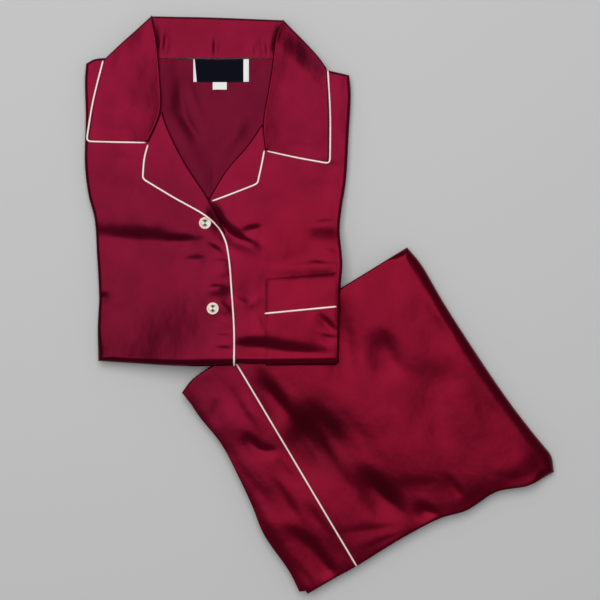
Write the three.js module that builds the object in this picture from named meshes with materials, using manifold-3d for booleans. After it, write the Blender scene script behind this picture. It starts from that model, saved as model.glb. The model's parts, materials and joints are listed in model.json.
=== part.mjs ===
// A folded pyjama set in satin with contrast piping: a shirt with a notched collar, folded to half its
// length, lies across a corner of its trousers, which are folded in three and turned on the surface.
// Millimetres, +Z up. The surface is z = 0, and the origin is under the middle of the whole set.
import * as THREE from 'three';
import { mergeVertices } from 'three/addons/utils/BufferGeometryUtils.js';
import Module from 'manifold-3d';

// ---------------------------------------------------------------- driving dimensions
const CLOTH = 1.2; // one thickness of satin, with its seam allowance
const GAP = 0.35; // air between two neighbouring pieces
const PLY = CLOTH + 0.8; // pitch of cloths that lie loosely on each other
const SHIRT_THICK = 14; // the folded shirt
const TROUSER_THICK = 20; // the folded trousers
const TROUSER_TURN = THREE.MathUtils.degToRad(30.7);
const LIFT_CLEAR = 1.7; // air between the trousers and the shirt on them
const LIFT_RUN = { from: 2, to: 120 }; // the shirt comes down to the surface over this width
const SIDE_ROLL = 3.8; // radius of the fold down each side of the shirt
const HEM_ROLL = 6.6; // radius of the fold across the bottom of the shirt
const LEG_ROLL = 1.9; // radius of a flattened trouser leg's edge
const KNEE_ROLL = 9.2; // radius of the fold across the legs
const PIPING = 1.15; // radius of the piping
const COLLAR_THICK = 1.6; // collar at its free edge
const COLLAR_LOFT = 4.2; // how far the collar stands up where it rolls over
const NECK_DEPTH = 3.6; // how far the inside of the back lies below the fronts
const BUTTON = { radius: 7.3, thick: 2.3, rim: 1.5, lift: 3.4, reach: 14, clear: 0.3 };

// The main creases: a trough from one point to the other, its half width and its depth.
const SHIRT_FOLDS = [
  { x0: -250, y0: 89, x1: -176, y1: 82, half: 12, depth: 2.4 },
  { x0: -94, y0: 88, x1: -78, y1: 78, half: 9, depth: 2.0 },
  { x0: -84, y0: -40, x1: -10, y1: -42, half: 17, depth: 1.6 },
  { x0: -40, y0: 53, x1: 10, y1: 53, half: 8, depth: 1.2 },
];
const LEG_FOLDS = [
  { x0: -97, y0: -50, x1: -88, y1: -180, half: 20, depth: 3.0 },
  { x0: -52, y0: -226, x1: -30, y1: -250, half: 12, depth: 2.0 },
  { x0: 50, y0: -92, x1: 52, y1: -106, half: 14, depth: 1.6 },
  { x0: 76, y0: -170, x1: 78, y1: -192, half: 16, depth: 1.2 },
];

// ---------------------------------------------------------------- outlines, as [x, y] points
const SHIRT_LEFT = [[-266, -68], [-267, -30], [-265.5, 11], [-268.5, 67], [-271, 104], [-278, 131],
  [-282.5, 168], [-281.5, 227], [-282.5, 270], [-281, 290]];
const SHIRT_RIGHT = [[23, -70], [24, -30], [25.3, 21], [27.5, 49], [24.4, 90], [26.8, 115], [32, 149],
  [35.4, 205], [37.8, 255], [36, 276]];
const SHOULDER_LEFT = [[-281, 290], [-270, 295.5], [-235, 296.5], [-206, 295]];
const SHOULDER_RIGHT = [[-43, 296], [-20, 290], [10, 282], [36, 276]];
const HEM_LEFT = [[-266, -68], [-215, -71], [-160, -72.2], [-103.5, -71]];
const HEM_RIGHT = [[-135, -71], [-99, -71], [-40, -71], [23, -70]];
const FRONT_EDGE = [[-103.5, -71], [-103.6, -29], [-106.8, 16], [-110, 53], [-115, 82]];
const UNDER_EDGE = [[-135, -71], [-136, 0], [-137, 60], [-136, 124]];
const NECK_LEFT = [[-203, 242], [-205, 270], [-206, 295]];
const NECK_RIGHT = [[-52.5, 242], [-45.5, 270], [-43, 296]];
// Where each lapel turns back, from the top button to the collar.
const ROLL_LEFT = [[-113, 86], [-124, 108.6], [-133.2, 126.6], [-163, 172.6], [-185, 218.4], [-188.4, 231.4]];
const ROLL_RIGHT = [[-133.2, 127], [-112.4, 161], [-85, 193.2], [-69.2, 216.5]];
const LAPEL_LEFT_NOTCH = [[-205.6, 193.4], [-210.2, 176], [-212.4, 151]];
const LAPEL_LEFT_EDGE = [[-212.4, 151], [-176, 129], [-138, 107.4], [-124, 95.5], [-113.6, 82]];
const LAPEL_RIGHT_NOTCH = [[-66, 186.5], [-69, 170.3], [-74.5, 145]];
const LAPEL_RIGHT_EDGE = [[-131.5, 123.2], [-104, 133.5], [-74.5, 145]];
// The collar's leaves: the roll round the neck, the piped end and side, and the fold over the shoulder.
const LEAF_LEFT = {
  roll: [[-201, 347.4], [-195, 312], [-191.4, 273.6], [-190.6, 232.2], [-206, 194.5]],
  end: [[-280, 196], [-245, 195], [-206, 194.5]],
  side: [[-280, 196], [-272, 244.2], [-259.8, 293.5]],
  fold: [[-259.8, 293.5], [-232, 319.5], [-201, 347.4]],
};
const LEAF_RIGHT = {
  roll: [[-43.8, 342.6], [-52.2, 322.2], [-57.4, 282.7], [-61.9, 255.2], [-67.8, 218.4], [-65.6, 185]],
  end: [[-65.6, 185], [-30, 177], [12.6, 169.2]],
  side: [[12.6, 169.2], [12.8, 227.6], [10, 281.9]],
  fold: [[10, 281.9], [-2.3, 298.8], [-43.8, 342.6]],
};
const BAND = {
  seam: [[-200, 296.6], [-127, 296.6], [-52, 296.6]],
  top: [[-203, 347.2], [-127, 345.6], [-43, 342.4]],
};
const POCKET = {
  top: [[-65, 31.1], [20.6, 38.2]],
  seam: [[-66.4, -10.8], [20.6, -2.4]],
  low: [[-64, -73.1], [20.6, -72.2]],
};
const BUTTONS = { button_top: [-137.4, 97.8], button_low: [-127.7, -4.7] };
const LABEL = { x0: -151.8, x1: -85, y0: 268.2, y1: 295.6, thick: 0.6 };
const SIZE_TAB = { x0: -128.5, x1: -111.6, y0: 258.8, y1: 267.6, thick: 0.6 };

// Trousers, in the trousers' own axes: x along the legs, y across them.
const CUFF_SEAM_X = -122;
const LEG_TOP = [[-196, -6.5], [-178, 0.5], [-150.7, 2.8], [-60, 4], [32.6, 4], [126, 5.4]];
const LEG_FOLD = [[140, -318], [147, -300], [145.2, -283], [142, -262], [136.5, -215], [132.4, -150],
  [129.7, -74], [130, -20], [126, 5.4]];
const LEG_LOW = [[-189.5, -291.6], [-150, -292], [-100, -293.5], [-52, -292], [-6, -295], [26, -303],
  [68, -302.2], [104, -315], [140, -318]];
const HEM_EDGE = [[-189.5, -291.6], [-192.5, -258.5], [-197, -203], [-191.5, -166], [-187.5, -125],
  [-185.6, -84], [-191.6, -40], [-196, -6.5]];
const UNDER_HEM = [[-197, -284], [-195, -258.5], [-198.5, -203], [-193, -166], [-189, -125],
  [-187, -84], [-193, -40], [-194, -8]];

// ---------------------------------------------------------------- heights
const smooth = (value, low, high) => THREE.MathUtils.smoothstep(value, low, high);
const mix = THREE.MathUtils.lerp;

function troughs(x, y, folds) {
  let sum = 0;
  for (const f of folds) {
    const [dx, dy] = [f.x1 - f.x0, f.y1 - f.y0];
    const along = THREE.MathUtils.clamp(((x - f.x0) * dx + (y - f.y0) * dy) / (dx * dx + dy * dy), 0, 1);
    const off = Math.hypot(x - f.x0 - along * dx, y - f.y0 - along * dy);
    sum += f.depth * Math.exp(-((off / f.half) ** 2));
  }
  return sum;
}

// Height of the shirt's underside: on the surface, and up on the trousers at its lower right.
function shirtLift(x, y) {
  const across = y * Math.cos(TROUSER_TURN) - x * Math.sin(TROUSER_TURN);
  return (TROUSER_THICK + LIFT_CLEAR) * (1 - smooth(across, LIFT_RUN.from, LIFT_RUN.to));
}

const frontTop = (x, y) => shirtLift(x, y) + SHIRT_THICK - troughs(x, y, SHIRT_FOLDS);
// The front with the buttonholes lies one cloth higher where it laps over the other.
const overlap = (x) => PLY * smooth(x, -162, -141);
const overTop = (x, y) => frontTop(x, y) + overlap(x);

// The V of the neck, in which the inside of the back lies lower than the fronts.
function neckDip(x, y) {
  const halfWidth = THREE.MathUtils.clamp((y - 128) * 0.62, 0, 64);
  return NECK_DEPTH * smooth(halfWidth - Math.abs(x + 127), 0, 20);
}
const backTop = (x, y) => frontTop(x, y) - PLY - neckDip(x, y);
const layersTop = (x, y) => frontTop(x, y) - 2.6 * PLY - 1.3 * neckDip(x, y);

// The top button lies under the edge of the lapel and pushes it up.
function buttonPush(x, y) {
  const off = Math.hypot(x - BUTTONS.button_top[0], y - BUTTONS.button_top[1]);
  return BUTTON.lift * Math.exp(-((off / BUTTON.reach) ** 2));
}

const legTop = (x, y) => TROUSER_THICK - troughs(x, y, LEG_FOLDS);

// ---------------------------------------------------------------- sheets of cloth
// Points at even steps along a smooth line through a table's points.
function along(points, steps) {
  const places = points.map(([x, y]) => new THREE.Vector3(x, y, 0));
  const curve = new THREE.CatmullRomCurve3(places, false, 'centripetal');
  return curve.getSpacedPoints(steps).map((p) => [p.x, p.y]);
}

const towards = (a, b) => {
  const length = Math.hypot(b[0] - a[0], b[1] - a[1]);
  return [(b[0] - a[0]) / length, (b[1] - a[1]) / length];
};
const move = (p, n, d) => [p[0] + n[0] * d, p[1] + n[1] * d];

// The way out of a side at each of its points: a side runs with the sheet on its left, or on its right.
function outward(side, sheetOnLeft) {
  const turn = sheetOnLeft ? 1 : -1;
  return side.map((p, i) => {
    const t = towards(side[Math.max(i - 1, 0)], side[Math.min(i + 1, side.length - 1)]);
    return [turn * t[1], -turn * t[0]];
  });
}

// A corner goes out between its two sides, or along the side that stays a cut edge.
function cornerWay(a, b) {
  const between = [a.way[0] + b.way[0], a.way[1] + b.way[1]];
  if (a.roll && b.roll) return towards([0, 0], between);
  const bend = 1 + a.way[0] * b.way[0] + a.way[1] * b.way[1];
  if (!a.roll && !b.roll) return between.map((c) => c / bend);
  return a.roll ? b.run : a.run;
}

// Where the sides meet: a side and its end, and the other side and its end.
const CORNERS = [
  ['south', 0, 'west', 0], ['south', -1, 'east', 0], ['north', 0, 'west', -1], ['north', -1, 'east', -1],
];

// Frames of the four sides: each point, its way out and its roll, with the corners agreed.
function frameSides({ south, east, north, west, rolls }) {
  const raw = { south, east, north, west };
  const onLeft = { south: true, east: true, north: false, west: false };
  const frame = {};
  for (const [name, side] of Object.entries(raw)) {
    const ways = outward(side, onLeft[name]);
    const roll = rolls[name];
    frame[name] = side.map((p, i) => ({ p, way: ways[i], roll: roll ? roll(i / (side.length - 1), p) : 0 }));
  }
  const runOf = (side, at) => towards(side.at(at === 0 ? 1 : -2).p, side.at(at).p);
  for (const [a, atA, b, atB] of CORNERS) {
    const [fa, fb] = [frame[a].at(atA), frame[b].at(atB)];
    const way = cornerWay({ ...fa, run: runOf(frame[a], atA) }, { ...fb, run: runOf(frame[b], atB) });
    const roll = fa.roll && fb.roll ? (fa.roll + fb.roll) / 2 : Math.max(fa.roll, fb.roll);
    Object.assign(fa, { way, roll, p: fb.p });
    Object.assign(fb, { way, roll });
  }
  return frame;
}

// Fills four sides of points with a grid of points.
function fill(south, east, north, west) {
  const [nu, nv] = [south.length - 1, west.length - 1];
  const grid = [];
  for (let j = 0; j <= nv; j++) {
    const v = j / nv;
    grid.push(south.map((s, i) => {
      const u = i / nu;
      return [0, 1].map((k) => mix(s[k], north[i][k], v) + mix(west[j][k], east[j][k], u)
        - mix(mix(south[0][k], south[nu][k], u), mix(north[0][k], north[nu][k], u), v));
    }));
  }
  return grid;
}

// Collects faces and welds the points that they share.
class Mesh {
  constructor() {
    this.points = [];
    this.faces = [];
    this.seen = new Map();
  }

  point([x, y, z]) {
    const key = [x, y, z].map((c) => Math.round(c * 1e4)).join();
    if (!this.seen.has(key)) {
      this.seen.set(key, this.points.length);
      this.points.push(new THREE.Vector3(x, y, z));
    }
    return this.seen.get(key);
  }

  triangle(a, b, c) {
    if (a !== b && b !== c && c !== a) this.faces.push([a, b, c]);
  }

  quad(a, b, c, d) {
    const [ia, ib, ic, id] = [a, b, c, d].map((p) => this.point(p));
    this.triangle(ia, ib, ic);
    this.triangle(ia, ic, id);
  }

  // Rows of points, each row beside the last; flip turns the faces over.
  strip(rows, flip) {
    for (let r = 0; r + 1 < rows.length; r++) {
      for (let i = 0; i + 1 < rows[r].length; i++) {
        const ring = [rows[r][i], rows[r][i + 1], rows[r + 1][i + 1], rows[r + 1][i]];
        this.quad(...(flip ? ring.reverse() : ring));
      }
    }
  }

  geometry() {
    const g = new THREE.BufferGeometry();
    g.setAttribute('position', new THREE.Float32BufferAttribute(this.points.flatMap((p) => p.toArray()), 3));
    g.setIndex(this.faces.flat());
    return g;
  }
}

const FLIPS = { south: true, east: true, north: false, west: false };

// A sheet in its four sides; a rolled side turns down and under through sweep degrees.
function sheet({ south, east, north, west, rolls = {}, height, sweep = 140, turns = 4 }) {
  const frame = frameSides({ south, east, north, west, rolls });
  const inner = {};
  for (const name of Object.keys(frame)) inner[name] = frame[name].map((f) => move(f.p, f.way, -f.roll));
  const mesh = new Mesh();
  const grid = fill(inner.south, inner.east, inner.north, inner.west);
  const at = ([x, y]) => [x, y, height(x, y)];
  mesh.strip(grid.map((row) => row.map(at)), false);
  const edges = {};
  for (const name of Object.keys(frame)) {
    const rings = [];
    for (let k = 0; k <= (rolls[name] ? turns : 0); k++) {
      const turn = THREE.MathUtils.degToRad((sweep * k) / Math.max(turns, 1));
      rings.push(frame[name].map((f, i) => {
        const [x, y, z] = at(inner[name][i]);
        const [px, py] = move([x, y], f.way, f.roll * Math.sin(turn));
        return [px, py, z - f.roll * (1 - Math.cos(turn))];
      }));
    }
    mesh.strip(rings, FLIPS[name]);
    edges[name] = { rings, ways: frame[name].map((f) => f.way) };
  }
  return { mesh, edges };
}

// Gives a sheet its thickness, inwards from its outer face.
function thicken(mesh, thickness) {
  const normals = mesh.points.map(() => new THREE.Vector3());
  const edge = new Map();
  for (const [a, b, c] of mesh.faces) {
    const [pa, pb, pc] = [a, b, c].map((i) => mesh.points[i]);
    const n = pb.clone().sub(pa).cross(pc.clone().sub(pa));
    for (const i of [a, b, c]) normals[i].add(n);
    for (const [p, q] of [[a, b], [b, c], [c, a]]) edge.set(`${p},${q}`, [p, q]);
  }
  const solid = new Mesh();
  solid.points = mesh.points.map((p) => p.clone());
  const count = solid.points.length;
  mesh.points.forEach((p, i) => {
    solid.points.push(p.clone().addScaledVector(normals[i].normalize(), -thickness));
  });
  for (const [a, b, c] of mesh.faces) {
    solid.triangle(a, b, c);
    solid.triangle(c + count, b + count, a + count);
  }
  for (const [p, q] of edge.values()) {
    if (edge.has(`${q},${p}`)) continue;
    solid.triangle(q, p, p + count);
    solid.triangle(q, p + count, q + count);
  }
  return solid.geometry();
}

// A solid between two heights. Each row of its edge gives a share of the height and an inset.
function slab({ south, east, north, west, top, bottom, rows, insetAt }) {
  const every = () => 1;
  const rolls = { south: every, east: every, north: every, west: every };
  const frame = frameSides({ south, east, north, west, rolls });
  const names = Object.keys(frame);
  const rings = rows.map((row) => Object.fromEntries(names.map((name) => [name, frame[name].map((f, i) => {
    const share = i / (frame[name].length - 1);
    const [x, y] = move(f.p, f.way, -insetAt(row, name, share));
    return [x, y, mix(bottom(x, y), top(x, y), row.high)];
  })])));
  for (const ring of rings) {
    for (const [a, atA, b, atB] of CORNERS) ring[a][atA === 0 ? 0 : ring[a].length - 1] = ring[b].at(atB);
  }
  const mesh = new Mesh();
  const cap = (ring, height, flip) => {
    const grid = fill(ring.south, ring.east, ring.north, ring.west);
    mesh.strip(grid.map((row) => row.map(([x, y]) => [x, y, height(x, y)])), flip);
  };
  cap(rings[0], top, false);
  for (const name of names) mesh.strip(rings.map((ring) => ring[name]), FLIPS[name]);
  cap(rings.at(-1), bottom, true);
  return mesh.geometry();
}

// Piping along an edge: its centre is a little outside the edge, and its ends are closed.
function piping(centres, ways, radius = PIPING) {
  const sides = 8;
  const mesh = new Mesh();
  const rings = centres.map((c, i) => {
    const before = new THREE.Vector3(...centres[Math.max(i - 1, 0)]);
    const after = new THREE.Vector3(...centres[Math.min(i + 1, centres.length - 1)]);
    const run = after.sub(before).normalize();
    const out = new THREE.Vector3(ways[i][0], ways[i][1], 0);
    out.addScaledVector(run, -out.dot(run)).normalize();
    const up = run.clone().cross(out);
    return Array.from({ length: sides + 1 }, (_, k) => {
      const turn = (2 * Math.PI * (k % sides)) / sides;
      const p = new THREE.Vector3(...c).addScaledVector(out, radius * Math.cos(turn));
      return p.addScaledVector(up, radius * Math.sin(turn)).toArray();
    });
  });
  mesh.strip(rings, true);
  for (const [ring, flip] of [[rings[0], false], [rings.at(-1), true]]) {
    const ids = ring.slice(0, sides).map((p) => mesh.point(p));
    for (let k = 1; k + 1 < sides; k++) mesh.triangle(ids[0], ids[flip ? k + 1 : k], ids[flip ? k : k + 1]);
  }
  return fixWinding(mesh.geometry());
}

// Turns a closed mesh's faces outwards.
function fixWinding(geometry) {
  const [p, index] = [geometry.attributes.position, geometry.index.array];
  const [a, b, c] = [new THREE.Vector3(), new THREE.Vector3(), new THREE.Vector3()];
  let volume = 0;
  for (let i = 0; i < index.length; i += 3) {
    a.fromBufferAttribute(p, index[i]);
    b.fromBufferAttribute(p, index[i + 1]);
    c.fromBufferAttribute(p, index[i + 2]);
    volume += a.dot(b.cross(c));
  }
  if (volume < 0) {
    for (let i = 0; i < index.length; i += 3) [index[i], index[i + 1]] = [index[i + 1], index[i]];
  }
  return geometry;
}

// ---------------------------------------------------------------- joining
const wasm = await Module();
wasm.setup();

function toSolid(geometry) {
  const plain = geometry.clone();
  plain.deleteAttribute('normal');
  plain.deleteAttribute('uv');
  const merged = mergeVertices(plain, 1e-4);
  return new wasm.Manifold(new wasm.Mesh({
    numProp: 3,
    vertProperties: new Float32Array(merged.attributes.position.array),
    triVerts: new Uint32Array(merged.index.array),
  }));
}

function join(geometries) {
  const mesh = geometries.map(toSolid).reduce((sum, next) => sum.add(next)).getMesh();
  const geometry = new THREE.BufferGeometry();
  geometry.setAttribute('position', new THREE.Float32BufferAttribute(mesh.vertProperties, 3));
  geometry.setIndex(Array.from(mesh.triVerts));
  return geometry;
}

// ---------------------------------------------------------------- materials
const finish = (color, roughness) => new THREE.MeshStandardMaterial({ color, roughness, metalness: 0 });
const SATIN = finish('#741028', 0.38);
const SATIN_INSIDE = finish('#62102a', 0.5);
const CREAM = finish('#f4dcd2', 0.5);
const PEARL = finish('#e9dfca', 0.25);
const NAVY = finish('#10142a', 0.6);
const WHITE = finish('#f3f2ee', 0.6);

function named(name, geometry, material) {
  const mesh = new THREE.Mesh(geometry, material);
  mesh.name = name;
  return mesh;
}

// ---------------------------------------------------------------- the shirt
const seamGap = PIPING + GAP;
const inset = (side, sheetOnLeft, d) => {
  const ways = outward(side, sheetOnLeft);
  return side.map((p, i) => move(p, ways[i], -d));
};
// Two piped sides that meet at a corner, both moved in by the piping's seam.
function insetPair(a, b, aOnLeft, bOnLeft) {
  const [wayA, wayB] = [outward(a, aOnLeft)[0], outward(b, bOnLeft)[0]];
  const [inA, inB] = [inset(a, aOnLeft, seamGap), inset(b, bOnLeft, seamGap)];
  const bend = 1 + wayA[0] * wayB[0] + wayA[1] * wayB[1];
  const corner = move(a[0], [wayA[0] + wayB[0], wayA[1] + wayB[1]], -seamGap / bend);
  return [[corner, ...inA.slice(1)], [corner, ...inB.slice(1)]];
}

// Rolls grow from the side's radius to the bottom fold's near the bottom corners.
const sideRoll = (s) => mix(HEM_ROLL, SIDE_ROLL, smooth(s, 0, 0.12));

function frontRight() {
  const east = [
    ...along(FRONT_EDGE, 7),
    ...along(inset(ROLL_LEFT, true, 3.4), 7),
    ...along(NECK_LEFT, 2),
  ];
  const rows = east.length - 1;
  return sheet({
    south: along(HEM_LEFT, 7).map(([x, y]) => [x, y - overlap(x)]),
    west: along(SHIRT_LEFT, rows),
    north: along(SHOULDER_LEFT, 7),
    east: [[HEM_LEFT.at(-1)[0], HEM_LEFT.at(-1)[1] - PLY], ...east.slice(1)],
    rolls: { west: sideRoll, south: (s, p) => HEM_ROLL + overlap(p[0]), north: () => SIDE_ROLL },
    height: overTop,
  });
}

function frontLeft() {
  const west = [
    ...along(UNDER_EDGE, 7),
    ...along(inset(ROLL_RIGHT, false, 3.4), 4),
    ...along(NECK_RIGHT, 2),
  ];
  return sheet({
    south: along(HEM_RIGHT, 7),
    west,
    north: along(SHOULDER_RIGHT, 7),
    east: along(SHIRT_RIGHT, west.length - 1),
    rolls: { east: sideRoll, south: () => HEM_ROLL, north: () => SIDE_ROLL },
    height: frontTop,
  });
}

// Edge of the hidden layers: the fronts' fold goes round the upper half, and the half below shows.
const SHIRT_EDGE = [
  { high: 1.0, inset: 5.2 },
  { high: 0.74, inset: 5.2 },
  { high: 0.50, inset: 5.2 },
  { high: 0.45, inset: 1.6 },
  { high: 0.31, inset: 0.4 },
  { high: 0.22, inset: 1.9 },
  { high: 0.12, inset: 0.5 },
  { high: 0.0, inset: 2.6 },
];

function shirtLayers() {
  const core = SHIRT_THICK - 2.6 * PLY;
  const centre = SHIRT_THICK - HEM_ROLL;
  const reach = HEM_ROLL - PLY - GAP;
  const chord = (high) => Math.sqrt(Math.max(0, reach ** 2 - (high * core - centre) ** 2));
  const foldInset = (high) => HEM_ROLL + GAP - chord(high);
  return slab({
    south: along([[-266, -67.6], [-215, -71], [-160, -72.4], [-99, -72], [-40, -72.2], [23, -70.6]], 10),
    north: along([[-280, 287], [-240, 288], [-127, 286], [-20, 281], [33, 274]], 10),
    west: along(SHIRT_LEFT.slice(0, -1).concat([[-280, 287]]), 10),
    east: along(SHIRT_RIGHT.slice(0, -1).concat([[33, 274]]), 10),
    top: layersTop,
    bottom: shirtLift,
    rows: SHIRT_EDGE,
    insetAt: (row, name, s) => {
      const low = name === 'south' ? 1 : (name === 'north' ? 0 : 1 - smooth(s, 0, 0.1));
      return mix(row.inset, Math.max(foldInset(row.high), row.inset), low);
    },
  });
}

function shirtBack() {
  const parts = sheet({
    south: along([[-146, 112], [-112, 112]], 6),
    west: along([[-146, 112], [-172, 160], [-198, 235], [-200, 295.9]], 8),
    north: along([[-200, 295.9], [-54, 295.9]], 6),
    east: along([[-112, 112], [-88, 160], [-58, 235], [-54, 295.9]], 8),
    height: backTop,
  });
  return thicken(parts.mesh, CLOTH);
}

// A lapel: the facing of the front, turned back along its roll, where it dips round the front's edge.
function lapel({ edge, notch, roll, rollOnWest, height }) {
  const gorge = rollOnWest ? [roll.at(-1), notch[0]] : [notch[0], roll.at(-1)];
  const fromCorner = [...notch].reverse();
  return sheet({
    south: edge,
    west: rollOnWest ? roll : fromCorner,
    east: rollOnWest ? fromCorner : roll,
    north: along(gorge, edge.length - 1),
    rolls: { [rollOnWest ? 'west' : 'east']: () => LEG_ROLL },
    height,
    sweep: 90,
    turns: 2,
  });
}

const overLapelTop = (x, y) => overTop(x, y) + PLY + buttonPush(x, y);
const underLapelTop = (x, y) => frontTop(x, y) + PLY;

function lapelRight() {
  const upwards = [...LAPEL_LEFT_NOTCH].reverse();
  const [edge, notch] = insetPair(LAPEL_LEFT_EDGE, upwards, true, false);
  return lapel({
    edge: along(edge, 10),
    notch: along([...notch].reverse(), 6),
    roll: along(ROLL_LEFT, 6),
    rollOnWest: false,
    height: overLapelTop,
  });
}

function lapelLeft() {
  const inwards = [...LAPEL_RIGHT_EDGE].reverse();
  const upwards = [...LAPEL_RIGHT_NOTCH].reverse();
  const [edge, notch] = insetPair(inwards, upwards, false, true);
  return lapel({
    edge: along([...edge].reverse(), 5),
    notch: along([...notch].reverse(), 4),
    roll: along(ROLL_RIGHT, 4),
    rollOnWest: true,
    height: underLapelTop,
  });
}

// Piping beside a cut edge of a sheet, as high as the sheet's face.
function pipingBeside(points, ways, drop = 0) {
  const centres = points.map((p, i) => [...move(p, ways[i], seamGap), p[2] - drop]);
  return piping(centres, ways);
}

// ---------------------------------------------------------------- the collar
const collarFace = (x, y, fromRoll) => {
  const onShirt = frontTop(x, Math.min(y, 290));
  return onShirt + GAP + 0.3 + COLLAR_THICK + COLLAR_LOFT * Math.max(0, 1 - fromRoll / 48) ** 2;
};

function distanceTo(line, x, y) {
  let least = Infinity;
  for (let i = 0; i + 1 < line.length; i++) {
    const [[x0, y0], [x1, y1]] = [line[i], line[i + 1]];
    const t = THREE.MathUtils.clamp(((x - x0) * (x1 - x0) + (y - y0) * (y1 - y0))
      / ((x1 - x0) ** 2 + (y1 - y0) ** 2), 0, 1);
    least = Math.min(least, Math.hypot(x - x0 - t * (x1 - x0), y - y0 - t * (y1 - y0)));
  }
  return least;
}

const COLLAR_EDGE = [
  { high: 1.0, inset: 3.2 },
  { high: 0.82, inset: 0.8 },
  { high: 0.5, inset: 0 },
  { high: 0.18, inset: 0.8 },
  { high: 0.0, inset: 3.2 },
];

// A leaf lies on the fronts; past the shoulder it folds over and down behind the neck.
function leaf({ roll, end, side, fold }, rollOnWest) {
  const fromRoll = (x, y) => distanceTo(roll, x, y);
  const top = (x, y) => collarFace(x, y, fromRoll(x, y));
  const bottom = (x, y) => {
    const onShirt = frontTop(x, Math.min(y, 290)) + GAP + 0.3;
    return onShirt - 7 * smooth(y, 314, 332);
  };
  const down = (line) => [...line].reverse();
  const rollUp = along(down(roll), 7);
  const fromCorner = rollOnWest ? down(end) : end;
  const [cut, outer] = insetPair(fromCorner, side, !rollOnWest, rollOnWest);
  const outerUp = along(outer, 7);
  const share = { south: 0, north: 1, west: rollOnWest ? 1 : 0.15, east: rollOnWest ? 0.15 : 1 };
  return slab({
    south: along(rollOnWest ? down(cut) : cut, 5),
    north: along(rollOnWest ? down(fold) : fold, 5),
    west: rollOnWest ? rollUp : outerUp,
    east: rollOnWest ? outerUp : rollUp,
    top,
    bottom,
    rows: COLLAR_EDGE,
    insetAt: (row, name) => row.inset * share[name],
  });
}

function band() {
  const top = (x, y) => frontTop(x, 290) - 2.2 + 0.9 * smooth(y, 320, 338);
  return slab({
    south: along(BAND.seam, 6),
    north: along(BAND.top, 6),
    west: along([BAND.seam[0], BAND.top[0]], 4),
    east: along([BAND.seam.at(-1), BAND.top.at(-1)], 4),
    top,
    bottom: (x, y) => top(x, y) - mix(2.2, 7.5, smooth(y, 297, 330)),
    rows: COLLAR_EDGE,
    insetAt: (row, name) => (name === 'north' ? row.inset : 0),
  });
}

// ---------------------------------------------------------------- on the shirt
function pocketPiece(low, high, rolled) {
  return sheet({
    south: along(low, 6),
    north: along(high, 6),
    west: along([low[0], high[0]], 4),
    east: along([low.at(-1), high.at(-1)], 4),
    rolls: rolled ? { south: () => HEM_ROLL + PLY } : {},
    height: (x, y) => frontTop(x, y) + PLY,
    sweep: 110,
  });
}

function button([x, y]) {
  const { radius, thick, rim } = BUTTON;
  const profile = [[0, 0], [radius - 0.9, 0], [radius, 0.7], [radius, rim], [radius - 0.8, thick],
    [radius - 2, thick], [radius - 2.9, thick - 0.6], [0, thick - 0.6]];
  const shape = new THREE.LatheGeometry(profile.map(([r, z]) => new THREE.Vector2(r, z)), 20);
  shape.rotateX(Math.PI / 2);
  const rise = (dx, dy) => (overTop(x + dx, y + dy) - overTop(x - dx, y - dy)) / (2 * radius);
  const normal = new THREE.Vector3(-rise(radius, 0), -rise(0, radius), 1).normalize();
  shape.applyQuaternion(new THREE.Quaternion().setFromUnitVectors(new THREE.Vector3(0, 0, 1), normal));
  shape.translate(x, y, overTop(x, y) + GAP + BUTTON.clear);
  const plain = shape.clone();
  plain.deleteAttribute('normal');
  plain.deleteAttribute('uv');
  return fixWinding(mergeVertices(plain, 1e-4));
}

function tape({ x0, x1, y0, y1, thick }, lift) {
  const parts = sheet({
    south: along([[x0, y0], [x1, y0]], 5),
    north: along([[x0, y1], [x1, y1]], 5),
    west: along([[x0, y0], [x0, y1]], 2),
    east: along([[x1, y0], [x1, y1]], 2),
    height: (x, y) => backTop(x, y) + lift,
  });
  return thicken(parts.mesh, thick);
}

// The points of an edge, each with its way out.
const edgeRun = ({ rings, ways }) => rings[0].map((p, i) => ({ p, way: ways[i] }));

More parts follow.
